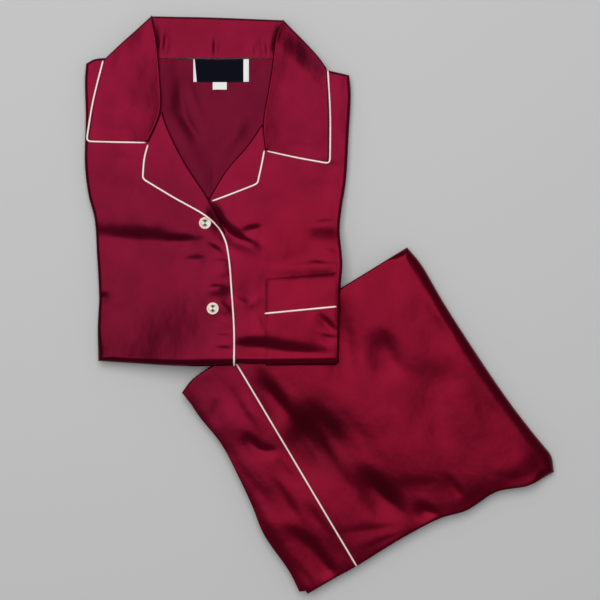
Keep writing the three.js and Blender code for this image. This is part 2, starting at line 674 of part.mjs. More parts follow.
function shirt() {
  const group = new THREE.Group();
  const add = (name, geometry, material = SATIN) => group.add(named(name, geometry, material));
  const over = frontRight();
  const under = frontLeft();
  const overLapel = lapelRight();
  const underLapel = lapelLeft();
  add('front_right', thicken(over.mesh, CLOTH));
  add('front_left', thicken(under.mesh, CLOTH));
  add('shirt_layers', shirtLayers());
  add('shirt_back', shirtBack(), SATIN_INSIDE);
  add('collar', join([leaf(LEAF_LEFT, false), leaf(LEAF_RIGHT, true), band()]));
  add('lapel_right', thicken(overLapel.mesh, CLOTH));
  add('lapel_left', thicken(underLapel.mesh, CLOTH));

  // One run of piping edges the lapel and goes on down the front edge and round the bottom fold.
  const front = over.edges.east;
  const round = over.edges.south;
  const lapelRun = [...edgeRun(overLapel.edges.west).reverse().slice(1, -1),
    ...edgeRun(overLapel.edges.south).slice(0, -1)];
  const frontRun = edgeRun(front).slice(0, 6).reverse();
  frontRun.at(-1).way = front.ways[1];
  const foldRun = round.rings.slice(1).map((ring) => ({ p: ring.at(-1), way: front.ways[1] }));
  const run = [...lapelRun, ...frontRun, ...foldRun];
  add('front_piping', pipingBeside(run.map((r) => r.p), run.map((r) => r.way)), CREAM);

  const short = [...edgeRun(underLapel.edges.east).reverse().slice(1, -1),
    ...edgeRun(underLapel.edges.south).reverse().slice(0, -1)];
  add('lapel_piping', pipingBeside(short.map((r) => r.p), short.map((r) => r.way)), CREAM);

  for (const [name, lines] of [['collar_piping_right', LEAF_LEFT], ['collar_piping_left', LEAF_RIGHT]]) {
    const outLeft = name === 'collar_piping_right';
    const end = along(lines.end, 6);
    const side = along(lines.side, 7);
    const points = outLeft ? [...end.reverse(), ...side.slice(1)] : [...end, ...side.slice(1)];
    const trimmed = points.slice(1);
    const centres = trimmed.map(([x, y]) => [x, y, frontTop(x, Math.min(y, 290)) + GAP + PIPING + 0.1]);
    add(name, piping(centres, outward(trimmed, !outLeft)), CREAM);
  }

  const pocket = pocketPiece(POCKET.low, inset(POCKET.seam, false, seamGap), true);
  const pocketBand = pocketPiece(inset(POCKET.seam, true, seamGap), POCKET.top, false);
  add('pocket', thicken(pocket.mesh, CLOTH));
  add('pocket_band', thicken(pocketBand.mesh, CLOTH));
  const seam = along(POCKET.seam, 6);
  const seamCentres = seam.map(([x, y]) => [x, y, frontTop(x, y) + GAP + PIPING]);
  add('pocket_piping', piping(seamCentres, outward(seam, false)), CREAM);

  for (const [name, place] of Object.entries(BUTTONS)) add(name, button(place), PEARL);
  add('neck_label', tape(LABEL, LABEL.thick + 2 * GAP), NAVY);
  add('size_tab', tape(SIZE_TAB, SIZE_TAB.thick + 2 * GAP), WHITE);
  return group;
}

// ---------------------------------------------------------------- the trousers
// Edge of the hidden layers: the top leg's own edge hangs over the first rows, then each leg's edge shows.
const LEG_LAYERS = 3;
function legRows() {
  const rows = [{ high: 1, inset: 5 }, { high: 0.83, inset: 5 }];
  const bottomOfTop = 0.78;
  const pitch = bottomOfTop / LEG_LAYERS;
  for (let n = 0; n < LEG_LAYERS; n++) {
    const from = bottomOfTop - n * pitch;
    rows.push({ high: from, inset: n === 0 ? 5 : 2.6 });
    rows.push({ high: from - 0.3 * pitch, inset: 0.7 });
    rows.push({ high: from - 0.7 * pitch, inset: 0.7 });
  }
  rows.push({ high: 0, inset: 2.6 });
  return rows;
}

function trouserLayers() {
  const core = TROUSER_THICK - PLY - GAP;
  const centre = TROUSER_THICK - KNEE_ROLL;
  const reach = KNEE_ROLL - PLY - 6 * GAP;
  const chord = (high) => Math.sqrt(Math.max(0, reach ** 2 - (high * core - centre) ** 2));
  const foldInset = (high) => KNEE_ROLL - chord(high);
  return slab({
    south: along(LEG_LOW, 11),
    north: along([[-196, -6.5], ...LEG_TOP.slice(1)], 11),
    west: along(HEM_EDGE.map(([x, y]) => [x + 1.5, y]), 10),
    east: along(LEG_FOLD, 10),
    top: (x, y) => legTop(x, y) - 2 * PLY,
    bottom: () => 0,
    rows: legRows(),
    insetAt: (row, name, s) => {
      if (name === 'east') return Math.max(foldInset(row.high), row.inset * 0.3);
      const near = name === 'west' ? 0 : smooth(s, 0.78, 0.92);
      return mix(row.inset, Math.max(foldInset(row.high), row.inset), near);
    },
  });
}

const legRoll = (s) => mix(LEG_ROLL, KNEE_ROLL, smooth(s, 0.88, 1));

function legPanel() {
  const seamX = CUFF_SEAM_X + seamGap;
  return sheet({
    south: along([[seamX, -293], ...LEG_LOW.slice(3)], 10),
    north: along([[seamX, 3.4], ...LEG_TOP.slice(3)], 10),
    west: along([[seamX, -293], [seamX, 3.4]], 11),
    east: along(LEG_FOLD, 11),
    rolls: { east: () => KNEE_ROLL, south: legRoll, north: legRoll },
    height: legTop,
    sweep: 150,
  });
}

function cuffTop() {
  const seamX = CUFF_SEAM_X - seamGap;
  return sheet({
    south: along([...LEG_LOW.slice(0, 2), [seamX, -293]], 4),
    north: along([...LEG_TOP.slice(0, 3), [seamX, 3.4]], 4),
    west: along(HEM_EDGE, 12),
    east: along([[seamX, -293], [seamX, 3.4]], 12),
    rolls: { south: () => LEG_ROLL, north: () => LEG_ROLL },
    height: legTop,
    sweep: 150,
  });
}

// The other leg's hem lies under the first and shows beyond its corner.
function cuffUnder() {
  return sheet({
    south: along([[-197, -284], [-192, -286.5], [-186, -286.5]], 2),
    north: along([[-194, -11], [-190, -9], [-184, -9]], 2),
    west: along(UNDER_HEM.map(([x, y], i) => (i === UNDER_HEM.length - 1 ? [x, -11] : [x, y])), 10),
    east: along([[-186, -286.5], [-184, -9]], 10),
    height: (x, y) => legTop(x, y) - PLY - 0.05,
  });
}

function trousers() {
  const group = new THREE.Group();
  group.rotation.z = TROUSER_TURN;
  const add = (name, geometry, material = SATIN) => group.add(named(name, geometry, material));
  const cuff = cuffTop();
  add('leg_panel', thicken(legPanel().mesh, CLOTH));
  add('cuff_top', thicken(cuff.mesh, CLOTH));
  add('cuff_under', thicken(cuffUnder().mesh, CLOTH));
  add('trouser_layers', trouserLayers());
  const seam = cuff.edges.east;
  const upper = cuff.edges.north.rings.slice(1, 3).map((ring) => ring.at(-1)).reverse();
  const lower = cuff.edges.south.rings.slice(1, 3).map((ring) => ring.at(-1));
  const points = [...upper, ...[...seam.rings[0]].reverse(), ...lower];
  add('cuff_piping', pipingBeside(points, points.map(() => [1, 0]), PIPING - 0.9), CREAM);
  return group;
}

const set = new THREE.Group();
set.add(shirt());
set.add(trousers());
export default set;
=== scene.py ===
# %% [markdown]
# # A folded satin pyjama set
# A shirt with a notched collar and cream piping lies folded across a corner of its folded trousers.
# The construction model gives every piece its place and size. This lesson gives the pieces their looks:
# fine cloth with soft creases, a satin finish, piping, stitches, buttons and woven tapes.

# %% The fixed frame
import json
import math

import bpy
import numpy as np
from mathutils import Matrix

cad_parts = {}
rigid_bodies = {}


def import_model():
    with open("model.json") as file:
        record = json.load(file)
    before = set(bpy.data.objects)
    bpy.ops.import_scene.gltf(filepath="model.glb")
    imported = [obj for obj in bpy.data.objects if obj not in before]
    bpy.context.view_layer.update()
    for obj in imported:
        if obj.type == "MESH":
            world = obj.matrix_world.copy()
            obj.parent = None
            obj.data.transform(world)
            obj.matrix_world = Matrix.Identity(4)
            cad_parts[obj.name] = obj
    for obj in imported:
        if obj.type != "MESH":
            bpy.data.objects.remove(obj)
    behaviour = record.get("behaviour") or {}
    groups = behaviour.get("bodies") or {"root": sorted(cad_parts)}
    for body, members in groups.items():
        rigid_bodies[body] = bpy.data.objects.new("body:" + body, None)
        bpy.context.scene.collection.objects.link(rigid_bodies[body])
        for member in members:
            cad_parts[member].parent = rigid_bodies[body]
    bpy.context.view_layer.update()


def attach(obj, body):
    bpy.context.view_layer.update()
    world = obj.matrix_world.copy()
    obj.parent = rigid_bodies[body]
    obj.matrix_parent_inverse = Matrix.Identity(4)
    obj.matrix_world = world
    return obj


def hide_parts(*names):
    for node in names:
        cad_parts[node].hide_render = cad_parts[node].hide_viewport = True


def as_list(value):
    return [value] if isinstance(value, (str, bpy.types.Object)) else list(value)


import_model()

MM = 0.001

# %% [markdown]
# ## Camera, light and floor
# The set lies flat and is looked at from straight above, so the camera looks down with a long lens.
# Satin shows its form by what it mirrors: where it is level it mirrors a broad light overhead and
# glows, and where it tilts into a crease it mirrors the dim room and turns dark.

# %% The camera, straight above
def add_object(name, data):
    made = bpy.data.objects.new(name, data)
    bpy.context.collection.objects.link(made)
    return made


VIEW_CENTRE = (-0.0234, 0.0054)
VIEW_WIDTH = 0.72
VIEW_HEIGHT = 2.42
SENSOR = 36.0
CLOTH_LEVEL = 0.018


def look_down():
    data = bpy.data.cameras.new("camera")
    data.sensor_width = SENSOR
    data.lens = SENSOR * (VIEW_HEIGHT - CLOTH_LEVEL) / VIEW_WIDTH
    camera = add_object("camera", data)
    camera.location = (*VIEW_CENTRE, VIEW_HEIGHT)
    bpy.context.scene.camera = camera
    print("lens", round(data.lens, 1), "mm")


look_down()


# %% Lights and the pale floor
def area_light(name, place, aim, size, power):
    data = bpy.data.lights.new(name, "AREA")
    data.shape = "RECTANGLE"
    data.size, data.size_y = size
    data.energy = power
    lamp = add_object(name, data)
    lamp.location = place
    way = np.array(aim, float) - np.array(place, float)
    lamp.rotation_euler = (math.acos(-way[2] / np.linalg.norm(way)), 0, math.atan2(-way[0], way[1]))


def lay_floor(half=3.0, grey=0.60):
    data = bpy.data.meshes.new("floor")
    corners = [(-half, -half, 0), (half, -half, 0), (half, half, 0), (-half, half, 0)]
    data.from_pydata(corners, [], [(0, 1, 2, 3)])
    floor = add_object("floor", data)
    paint = bpy.data.materials.new("floor_paint")
    paint.use_nodes = True
    shader = paint.node_tree.nodes["Principled BSDF"]
    shader.inputs["Base Color"].default_value = (grey, grey, grey, 1)
    shader.inputs["Roughness"].default_value = 0.9
    data.materials.append(paint)


def dim_room(strength=0.30):
    world = bpy.data.worlds.new("room")
    world.use_nodes = True
    background = world.node_tree.nodes["Background"]
    background.inputs["Color"].default_value = (1, 1, 1, 1)
    background.inputs["Strength"].default_value = strength
    bpy.context.scene.world = world
    bpy.context.scene.view_settings.view_transform = "Standard"


area_light("overhead", (-0.35, 1.10, 3.0), (-0.35, 1.05, 0), (2.4, 3.1), 75)
lay_floor()
dim_room()

# %% [markdown]
# ## Sizes and outlines
# The same sizes and outlines as in the construction model, in millimetres. Everything else is worked
# out from them, so each fine piece lies exactly where its plain stand-in does.

# %% Driving sizes
CLOTH = 1.2
GAP = 0.35
PLY = CLOTH + 0.8
FINE, COARSE = 2.0, 4.0
SHIRT_THICK = 14.0
TROUSER_THICK = 20.0
LAYERS_DOWN = 2.9 * PLY
TURN = math.radians(30.7)
LIFT = TROUSER_THICK + 1.7
LIFT_RUN = (2.0, 120.0)
SIDE_ROLL, HEM_ROLL, LEG_ROLL, KNEE_ROLL = 3.8, 6.6, 1.9, 9.2
PIPING = 1.15
SEAM = PIPING + GAP
UNDER_ROLL = 3.4
COLLAR_THICK, COLLAR_LOFT = 1.6, 4.2
NECK_DEPTH = 3.6
HOLES = {"radius": 0.95, "apart": 4.9, "around": 20}
BUTTON = {"radius": 7.3, "thick": 2.3, "rim": 1.5, "lift": 3.4, "reach": 14.0, "clear": 0.3}

# %% Outlines of the shirt, as [x, y] points
SHIRT_LEFT = [[-266, -68], [-267, -30], [-265.5, 11], [-268.5, 67], [-271, 104], [-278, 131],
              [-282.5, 168], [-281.5, 227], [-282.5, 270], [-281, 290]]
SHIRT_RIGHT = [[23, -70], [24, -30], [25.3, 21], [27.5, 49], [24.4, 90], [26.8, 115], [32, 149],
               [35.4, 205], [37.8, 255], [36, 276]]
SHOULDER_LEFT = [[-281, 290], [-270, 295.5], [-235, 296.5], [-206, 295]]
SHOULDER_RIGHT = [[-43, 296], [-20, 290], [10, 282], [36, 276]]
HEM_LEFT = [[-266, -68], [-215, -71], [-160, -72.2], [-103.5, -71]]
HEM_RIGHT = [[-135, -71], [-99, -71], [-40, -71], [23, -70]]
FRONT_EDGE = [[-103.5, -71], [-103.6, -29], [-106.8, 16], [-110, 53], [-115, 82]]
UNDER_EDGE = [[-135, -71], [-136, 0], [-137, 60], [-136, 124]]
NECK_LEFT = [[-203, 242], [-205, 270], [-206, 295]]
NECK_RIGHT = [[-52.5, 242], [-45.5, 270], [-43, 296]]
ROLL_LEFT = [[-113, 86], [-124, 108.6], [-133.2, 126.6], [-163, 172.6], [-185, 218.4], [-188.4, 231.4]]
ROLL_RIGHT = [[-133.2, 127], [-112.4, 161], [-85, 193.2], [-69.2, 216.5]]
LAPEL_LEFT_NOTCH = [[-205.6, 193.4], [-210.2, 176], [-212.4, 151]]
LAPEL_LEFT_EDGE = [[-212.4, 151], [-176, 129], [-138, 107.4], [-124, 95.5], [-113.6, 82]]
LAPEL_RIGHT_NOTCH = [[-66, 186.5], [-69, 170.3], [-74.5, 145]]
LAPEL_RIGHT_EDGE = [[-131.5, 123.2], [-104, 133.5], [-74.5, 145]]
LEAF_LEFT = {
    "roll": [[-201, 347.4], [-195, 312], [-191.4, 273.6], [-190.6, 232.2], [-206, 194.5]],
    "end": [[-280, 196], [-245, 195], [-206, 194.5]],
    "side": [[-280, 196], [-272, 244.2], [-259.8, 293.5]],
    "fold": [[-259.8, 293.5], [-232, 319.5], [-201, 347.4]],
}
LEAF_RIGHT = {
    "roll": [[-43.8, 342.6], [-52.2, 322.2], [-57.4, 282.7], [-61.9, 255.2], [-67.8, 218.4], [-65.6, 185]],
    "end": [[12.6, 169.2], [-30, 177], [-65.6, 185]],
    "side": [[12.6, 169.2], [12.8, 227.6], [10, 281.9]],
    "fold": [[10, 281.9], [-2.3, 298.8], [-43.8, 342.6]],
}
BAND = {
    "seam": [[-200, 296.6], [-127, 296.6], [-52, 296.6]],
    "top": [[-203, 347.2], [-127, 345.6], [-43, 342.4]],
}
POCKET = {
    "top": [[-65, 31.1], [20.6, 38.2]],
    "seam": [[-66.4, -10.8], [20.6, -2.4]],
    "low": [[-64, -73.1], [20.6, -72.2]],
}
BUTTONS = {"button_top": (-137.4, 97.8), "button_low": (-127.7, -4.7)}
LABEL = {"x": (-151.8, -85), "y": (268.2, 295.6), "thick": 0.6}
SIZE_TAB = {"x": (-128.5, -111.6), "y": (258.8, 267.6), "thick": 0.6}

# %% Outlines of the trousers, in their own axes: x along the legs, y across them
CUFF_SEAM_X = -122
LEG_TOP = [[-196, -6.5], [-178, 0.5], [-150.7, 2.8], [-60, 4], [32.6, 4], [126, 5.4]]
LEG_FOLD = [[140, -318], [147, -300], [145.2, -283], [142, -262], [136.5, -215], [132.4, -150],
            [129.7, -74], [130, -20], [126, 5.4]]
LEG_LOW = [[-189.5, -291.6], [-150, -292], [-100, -293.5], [-52, -292], [-6, -295], [26, -303],
           [68, -302.2], [104, -315], [140, -318]]
HEM_EDGE = [[-189.5, -291.6], [-192.5, -258.5], [-197, -203], [-191.5, -166], [-187.5, -125],
            [-185.6, -84], [-191.6, -40], [-196, -6.5]]
UNDER_HEM = [[-197, -284], [-195, -258.5], [-198.5, -203], [-193, -166], [-189, -125],
             [-187, -84], [-193, -40], [-194, -11]]

# %% [markdown]
# ## Creases
# Cloth that has been folded and handled keeps creases: long soft troughs where it was folded before,
# short ones that fan out from the buttoned edge, and a slow swell all over. Each is a row of a table
# with its two ends, half width and depth, so any of them can be made stronger or moved by eye. A
# negative depth is a ridge.

# %% Crease tables, in millimetres
CREASE = ("x0", "y0", "x1", "y1", "half", "depth")
SHIRT_CREASES = [
    # the wearer's right front
    (-272, 90, -182, 83, 13, 4.1), (-180, 80, -148, 80, 5.5, 1.9), (-215, 74, -212, 56, 8, 0.6),
    (-158, 57, -142, 57, 5.5, 1.6), (-129, 72, -117, 64, 4, 1.6), (-124, 54, -112, 53, 4, 1.4),
    (-132, 22, -116, 23, 4.5, 2.2), (-124, 42, -112, 41, 3.5, 1.2), (-272, 10, -258, 12, 5, 1.6),
    (-119, 3, -108, -4, 4, 1.5), (-122, -22, -109, -24, 3.5, 1.2), (-124, -35, -108, -36, 4, 1.6),
    (-124, -50, -108, -51, 4, 1.5), (-270, 152, -226, 150, 14, 0.7), (-236, -54, -206, -58, 8, 0.4),
    (-258, 180, -216, 178, 6, 0.6), (-150, 96, -146, 84, 4, 0.5),
    # the wearer's left front
    (-124, 116, -116, 100, 6, 3.0), (-116, 98, -99, 84, 7, 3.8), (-99, 84, -76, 73, 6, 3.2),
    (-89, 91, -75, 94, 4.5, 1.8), (-10, 99, 24, 102, 7, 2.8), (-50, 47, -8, 49, 6, 2.0),
    (-8, 52, 27, 49, 7, 3.2), (2, 68, 26, 61, 5, 1.8), (-98, 8, -85, 2, 4, 1.2), (-84, 2, -77, 8, 4, 1.0),
    (-100, -44, -62, -45, 9, 3.4), (-60, -48, -2, -54, 9, 3.4), (4, -14, 20, -30, 4, 1.8),
    (6, -36, 21, -39, 3.5, 1.2), (-60, 122, -14, 118, 16, 0.7), (-10, 148, 26, 146, 9, 1.0),
    (8, 172, 28, 168, 6, 0.9), (-66, 66, -34, 70, 8, 0.5), (-72, -14, -66, -32, 3.5, 0.6),
]
BACK_CREASES = [
    (-165, 262, -159, 228, 6, 2.2), (-158, 226, -146, 205, 5, 2.1), (-154, 270, -147, 240, 5, 1.5),
    (-142, 238, -136, 212, 5, 0.9), (-120, 240, -90, 232, 14, 0.8), (-112, 200, -98, 214, 7, 0.9),
]
LEG_CREASES = [
    (-100, -50, -96, -90, 10, 4.0), (-90, -112, -86, -166, 14, 3.8), (-64, -112, -58, -156, 14, 4.2),
    (-80, -118, -76, -192, 10, 2.0), (-52, -208, -42, -250, 11, 4.8), (-36, -118, -30, -176, 12, 1.6),
    (-17, -270, -5, -288, 7, 2.6), (29, -260, 32, -282, 5.5, 1.3), (50, -82, 47, -110, 13, 4.0),
    (64, -198, 90, -144, 18, 2.4), (-4, -92, 20, -38, 12, 3.4), (-112, -248, -58, -272, 6, 0.8),
    (-92, -278, -60, -284, 5, 0.8), (16, -116, 34, -236, 26, -1.0), (112, -60, 116, -110, 12, 1.6),
    (116, -196, 126, -246, 13, 1.8),
    (86, -288, 104, -300, 6, 0.9), (-26, -232, 10, -250, 9, 0.8), (-30, -10, 20, -14, 8, 0.5),
]
CUFF_CREASES = [
    (-153, -94, -147, -112, 6, 2.3), (-147, -112, -137, -119, 4.5, 1.3), (-142, -28, -140, -86, 6, 1.0),
    (-171, -148, -166, -188, 9, 1.1), (-151, -162, -150, -202, 7, 1.7), (-164, -216, -154, -242, 7, 1.7),
    (-152, -246, -147, -290, 7, 2.6), (-182, -50, -164, -34, 7, 0.8), (-132, -204, -130, -236, 5, 0.8),
    (-180, -100, -178, -140, 7, 0.7), (-136, -140, -131, -164, 5, 0.7), (-180, -256, -177, -288, 5, 0.6),
]
COLLAR_CREASES = [
    (-127, 320, -127.5, 299, 2.4, 1.2), (-186, 326, -189, 300, 3, 1.6), (-66, 318, -64, 298, 3, 1.4),
    (-197, 340, -191, 302, 4.5, 1.6), (-50, 336, -58, 304, 4.5, 1.6), (-78, 312, -79, 300, 2.4, 0.6),
    (-228, 212, -214, 204, 12, 0.6), (-262, 214, -214, 212, 4, 0.35), (-50, 198, -8, 190, 4, 0.35),
    (-250, 296, -214, 330, 12, -0.8), (-52, 230, -36, 200, 10, 0.5),
]


def smooth(value, low, high):
    t = np.clip((value - low) / (high - low), 0, 1)
    return t * t * (3 - 2 * t)


def mix(a, b, t):
    return a + (b - a) * t


UP_HERE = {"shirt": (0.0, 1.0), "trousers": (math.sin(TURN), math.cos(TURN))}


def creases(x, y, table, up=UP_HERE["shirt"], gentle=1.9, fade=0.9):
    """The depth of all a table's creases at x, y.

    A row's line is where the cloth falls steepest. The trough's bottom is beside it, on the side away
    from up, and from there the cloth comes back up gently. The ends fade out.
    """
    total = np.zeros(np.broadcast(x, y).shape)
    for row in table:
        c = dict(zip(CREASE, row))
        dx, dy = c["x1"] - c["x0"], c["y1"] - c["y0"]
        length = math.hypot(dx, dy)
        facing = 1 if dx * up[1] - dy * up[0] >= 0 else -1
        run = ((x - c["x0"]) * dx + (y - c["y0"]) * dy) / length - length / 2
        side = facing * ((y - c["y0"]) * dx - (x - c["x0"]) * dy) / length / c["half"] + 0.7
        taper = np.exp(-np.abs(run / (length / 2 + c["half"] * fade)) ** 2.5)
        trough = np.exp(-(side / np.where(side > 0, 1, gentle)) ** 2)
        total += c["depth"] * trough * taper
    return total


def swell(x, y, size, height, seed):
    """A slow uneven swell: a sum of long waves whose directions are drawn from the seed."""
    chance = np.random.default_rng(seed)
    total = np.zeros(np.broadcast(x, y).shape)
    for n in range(9):
        angle, phase, scale = chance.uniform(0, math.tau, 2).tolist() + [size * chance.uniform(0.7, 1.7)]
        total += np.sin((x * math.cos(angle) + y * math.sin(angle)) * math.tau / scale + phase)
    return total * height / 3


print("creases:", len(SHIRT_CREASES) + len(LEG_CREASES) + len(CUFF_CREASES) + len(COLLAR_CREASES))

# %% [markdown]
# ## Heights
# Each layer has a height at every point of the plan: the fronts lie on the hidden layers, the front
# with the buttonholes one cloth higher, the lapels and collar on top. One cloth is made from the
# height of the cloth below it, so no layer cuts through another.


# %% Heights of the shirt's layers
def lift(x, y):
    across = y * math.cos(TURN) - x * math.sin(TURN)
    return LIFT * (1 - smooth(across, *LIFT_RUN))


def shoulder(x, y, run=14.0, drop=0.5):
    """How far the fronts sink towards the sides and the bottom fold, where they begin to turn under."""
    side = np.minimum(x + 280 - 14 * (1 - smooth(y, 60, 150)), 33 - 9 * (1 - smooth(y, 90, 190)) - x)
    low = y + 72
    return drop * ((1 - smooth(side, -2, run)) ** 2 + 0.7 * (1 - smooth(low, -2, run)) ** 2)


def front_top(x, y):
    """The fronts' height. Low on the wearer's right front the swell is calmer."""
    near_edge = smooth(x, -283, -262) * (1 - smooth(x, 16, 36))
    calm = 1 - 0.65 * (1 - smooth(x, -165, -125)) * (1 - smooth(y, 40, 80))
    uneven = creases(x, y, SHIRT_CREASES) + calm * (swell(x, y, 70, 0.40, 3) + swell(x, y, 22, 0.10, 4))
    uneven = uneven * mix(0.6, 1.0, near_edge) * smooth(y, -76, -56)
    return lift(x, y) + SHIRT_THICK - uneven - shoulder(x, y)


def overlap(x):
    return PLY * smooth(x, -235, -141)


def over_top(x, y):
    return front_top(x, y) + overlap(x)


def neck_dip(x, y):
    half_width = np.clip((y - 128) * 0.62, 0, 64)
    return NECK_DEPTH * smooth(half_width - np.abs(x + 127), -6, 34)


def back_top(x, y):
    dip = neck_dip(x, y)
    return front_top(x, y) - PLY - dip - creases(x, y, BACK_CREASES) * smooth(dip, 0.6, 3)


def layers_top(x, y):
    return lift(x, y) + SHIRT_THICK - LAYERS_DOWN - 1.3 * neck_dip(x, y)


def button_push(x, y):
    """The lapel's foot lies over the top button and is pushed up by it."""
    off = np.hypot(x - BUTTONS["button_top"][0], y - BUTTONS["button_top"][1])
    return BUTTON["lift"] * np.exp(-((off / BUTTON["reach"]) ** 2))


def over_lapel_top(x, y):
    return over_top(x, y) + PLY + button_push(x, y)


def under_lapel_top(x, y):
    return front_top(x, y) + PLY


# %% Heights of the trousers' layers
def leg_top(x, y):
    uneven = creases(x, y, LEG_CREASES + CUFF_CREASES, UP_HERE["trousers"])
    inner = smooth(x, -192, -176) * smooth(y, -292, -278) * (1 - smooth(y, -12, 0))
    fold = 1.9 * smooth(x, 100, 140) ** 2 + 1.2 * smooth(-y, 270, 305) ** 2
    fold += 1.5 * (1 - smooth(x, -198, -176)) ** 2
    slow = swell(x, y, 95, 0.52, 7) + swell(x, y, 36, 0.09, 8)
    return TROUSER_THICK - uneven * mix(0.45, 1.0, inner) - 0.5 - slow - fold


# %% [markdown]
# ## Sheets of cloth from four sides
# A cut piece has four sides. A grid of points fills them, each point takes its layer's height, and a
# side that is folded goes on round a roll. Then the sheet gets its thickness from its own normals. A
# grid is used because it keeps the faces even, which satin's reflections need.


# %% Smooth lines through a few points
def line(points, step=FINE, count=None):
    """Even points on a smooth line through the given ones (a centripetal Catmull-Rom spline)."""
    p = np.array(points, float)
    p = np.vstack([2 * p[0] - p[1], p, 2 * p[-1] - p[-2]])
    fine = []
    for a, b, c, d in zip(p[:-3], p[1:-2], p[2:-1], p[3:]):
        t0 = 0.0
        t1 = t0 + math.sqrt(np.linalg.norm(b - a))
        t2 = t1 + math.sqrt(np.linalg.norm(c - b))
        t3 = t2 + math.sqrt(np.linalg.norm(d - c))
        t = np.linspace(t1, t2, 24, endpoint=False)[:, None]
        a1 = (t1 - t) / (t1 - t0) * a + (t - t0) / (t1 - t0) * b
        a2 = (t2 - t) / (t2 - t1) * b + (t - t1) / (t2 - t1) * c
        a3 = (t3 - t) / (t3 - t2) * c + (t - t2) / (t3 - t2) * d
        b1 = (t2 - t) / (t2 - t0) * a1 + (t - t0) / (t2 - t0) * a2
        b2 = (t3 - t) / (t3 - t1) * a2 + (t - t1) / (t3 - t1) * a3
        fine.append((t2 - t) / (t2 - t1) * b1 + (t - t1) / (t2 - t1) * b2)
    return even(np.vstack(fine + [p[-2][None]]), step, count)


def even(fine, step=FINE, count=None):
    """The same line with its points at even distances."""
    run = np.concatenate([[0], np.cumsum(np.linalg.norm(np.diff(fine, axis=0), axis=1))])
    count = count or max(2, round(run[-1] / step))
    at = np.linspace(0, run[-1], count + 1)
    return np.stack([np.interp(at, run, fine[:, k]) for k in range(fine.shape[1])], axis=1)


def outline(south, west, north, east, step=FINE):
    """Smooth lines for four sides; sides that face each other get as many points."""
    low, left = line(south, step), line(west, step)
    high, right = line(north, count=len(low) - 1), line(east, count=len(left) - 1)
    return {"south": low, "west": left, "north": high, "east": right}


def strip(low, high, step=FINE):
    """Four sides from a low and a high line, with straight ends between them."""
    return outline(low, [low[0], high[0]], high, [low[-1], high[-1]], step)


def outward(side, on_left):
    """The way out of a side at each point; the sheet is on the side's left or right."""
    t = np.gradient(side, axis=0)
    t /= np.linalg.norm(t, axis=1)[:, None]
    return np.stack([t[:, 1], -t[:, 0]], axis=1) * (1 if on_left else -1)


def inset(side, on_left, distance):
    return side - outward(side, on_left) * distance


def inset_pair(a, b, a_on_left, b_on_left, distance=SEAM):
    """Two piped sides that start at one corner, both moved in by the piping's seam."""
    way_a, way_b = outward(np.array(a, float), a_on_left)[0], outward(np.array(b, float), b_on_left)[0]
    in_a = inset(np.array(a, float), a_on_left, distance)
    in_b = inset(np.array(b, float), b_on_left, distance)
    in_a[0] = in_b[0] = np.array(a[0]) - (way_a + way_b) * distance / (1 + way_a @ way_b)
    return in_a, in_b


# %% The frame of four sides, and the grid that fills it
ON_LEFT = {"south": True, "east": True, "north": False, "west": False}
CORNERS = [
    ("south", 0, "west", 0), ("south", -1, "east", 0),
    ("north", 0, "west", -1), ("north", -1, "east", -1),
]


def frame_sides(sides, rolls, turn_in=3.0):
    """Each side's points, ways out and rolls, with the four corners agreed.

    Where two rolled sides meet, both turn towards the corner over a length of turn_in rolls.
    """
    out = {}
    for name, side in sides.items():
        share = np.linspace(0, 1, len(side))
        roll = rolls[name](share, side) if name in rolls else np.zeros(len(side))
        way = outward(side, ON_LEFT[name])
        out[name] = {"p": side.copy(), "way": way, "roll": roll * np.ones(len(side)), "trim": [0, 0]}
    for a, at_a, b, at_b in CORNERS:
        fa, fb = out[a], out[b]
        ra, rb = fa["roll"][at_a], fb["roll"][at_b]
        between = fa["way"][at_a] + fb["way"][at_b]
        bend = max(1 + fa["way"][at_a] @ fb["way"][at_b], 0.3)
        if ra > 0 and rb > 0:
            way, roll = between / np.linalg.norm(between), (ra + rb) / 2
        elif ra == 0 and rb == 0:
            way, roll = between / bend, 0.0
        else:
            along = fb if ra > 0 else fa
            at = at_b if ra > 0 else at_a
            run = along["p"][at] - along["p"][1 if at == 0 else -2]
            way, roll = run / np.linalg.norm(run), max(ra, rb)
            along["trim"][0 if at == 0 else 1] = roll
        if ra > 0 and rb > 0 and rolls:
            for f, at in ((fa, at_a), (fb, at_b)):
                far = np.linalg.norm(f["p"] - f["p"][at], axis=1)
                near = np.clip(1 - far / (turn_in * roll), 0, 1)
                f["way"] = mix(f["way"], way, near[:, None])
                f["way"] /= np.linalg.norm(f["way"], axis=1)[:, None]
                f["roll"] = mix(f["roll"], roll, near)
        fa["way"][at_a] = fb["way"][at_b] = way
        fa["roll"][at_a] = fb["roll"][at_b] = roll
        fa["p"][at_a] = fb["p"][at_b]
    return out


def cut_back(side, inner, trim):
    """A plain side beside rolled ones, spaced again between the places where their rolls begin."""
    far = np.concatenate([[0], np.cumsum(np.linalg.norm(np.diff(side, axis=0), axis=1))])
    keep = (far > trim[0] + 0.6) & (far < far[-1] - trim[1] - 0.6)
    return even(np.vstack([inner[:1], side[keep], inner[-1:]]), count=len(side) - 1)


def fill(south, east, north, west):
    """A grid of points between four sides of points."""
    u = np.linspace(0, 1, len(south))[None, :, None]
    v = np.linspace(0, 1, len(west))[:, None, None]
    across = mix(west[:, None], east[:, None], u)
    up = mix(south[None], north[None], v)
    return across + up - mix(mix(south[0], south[-1], u), mix(north[0], north[-1], u), v)


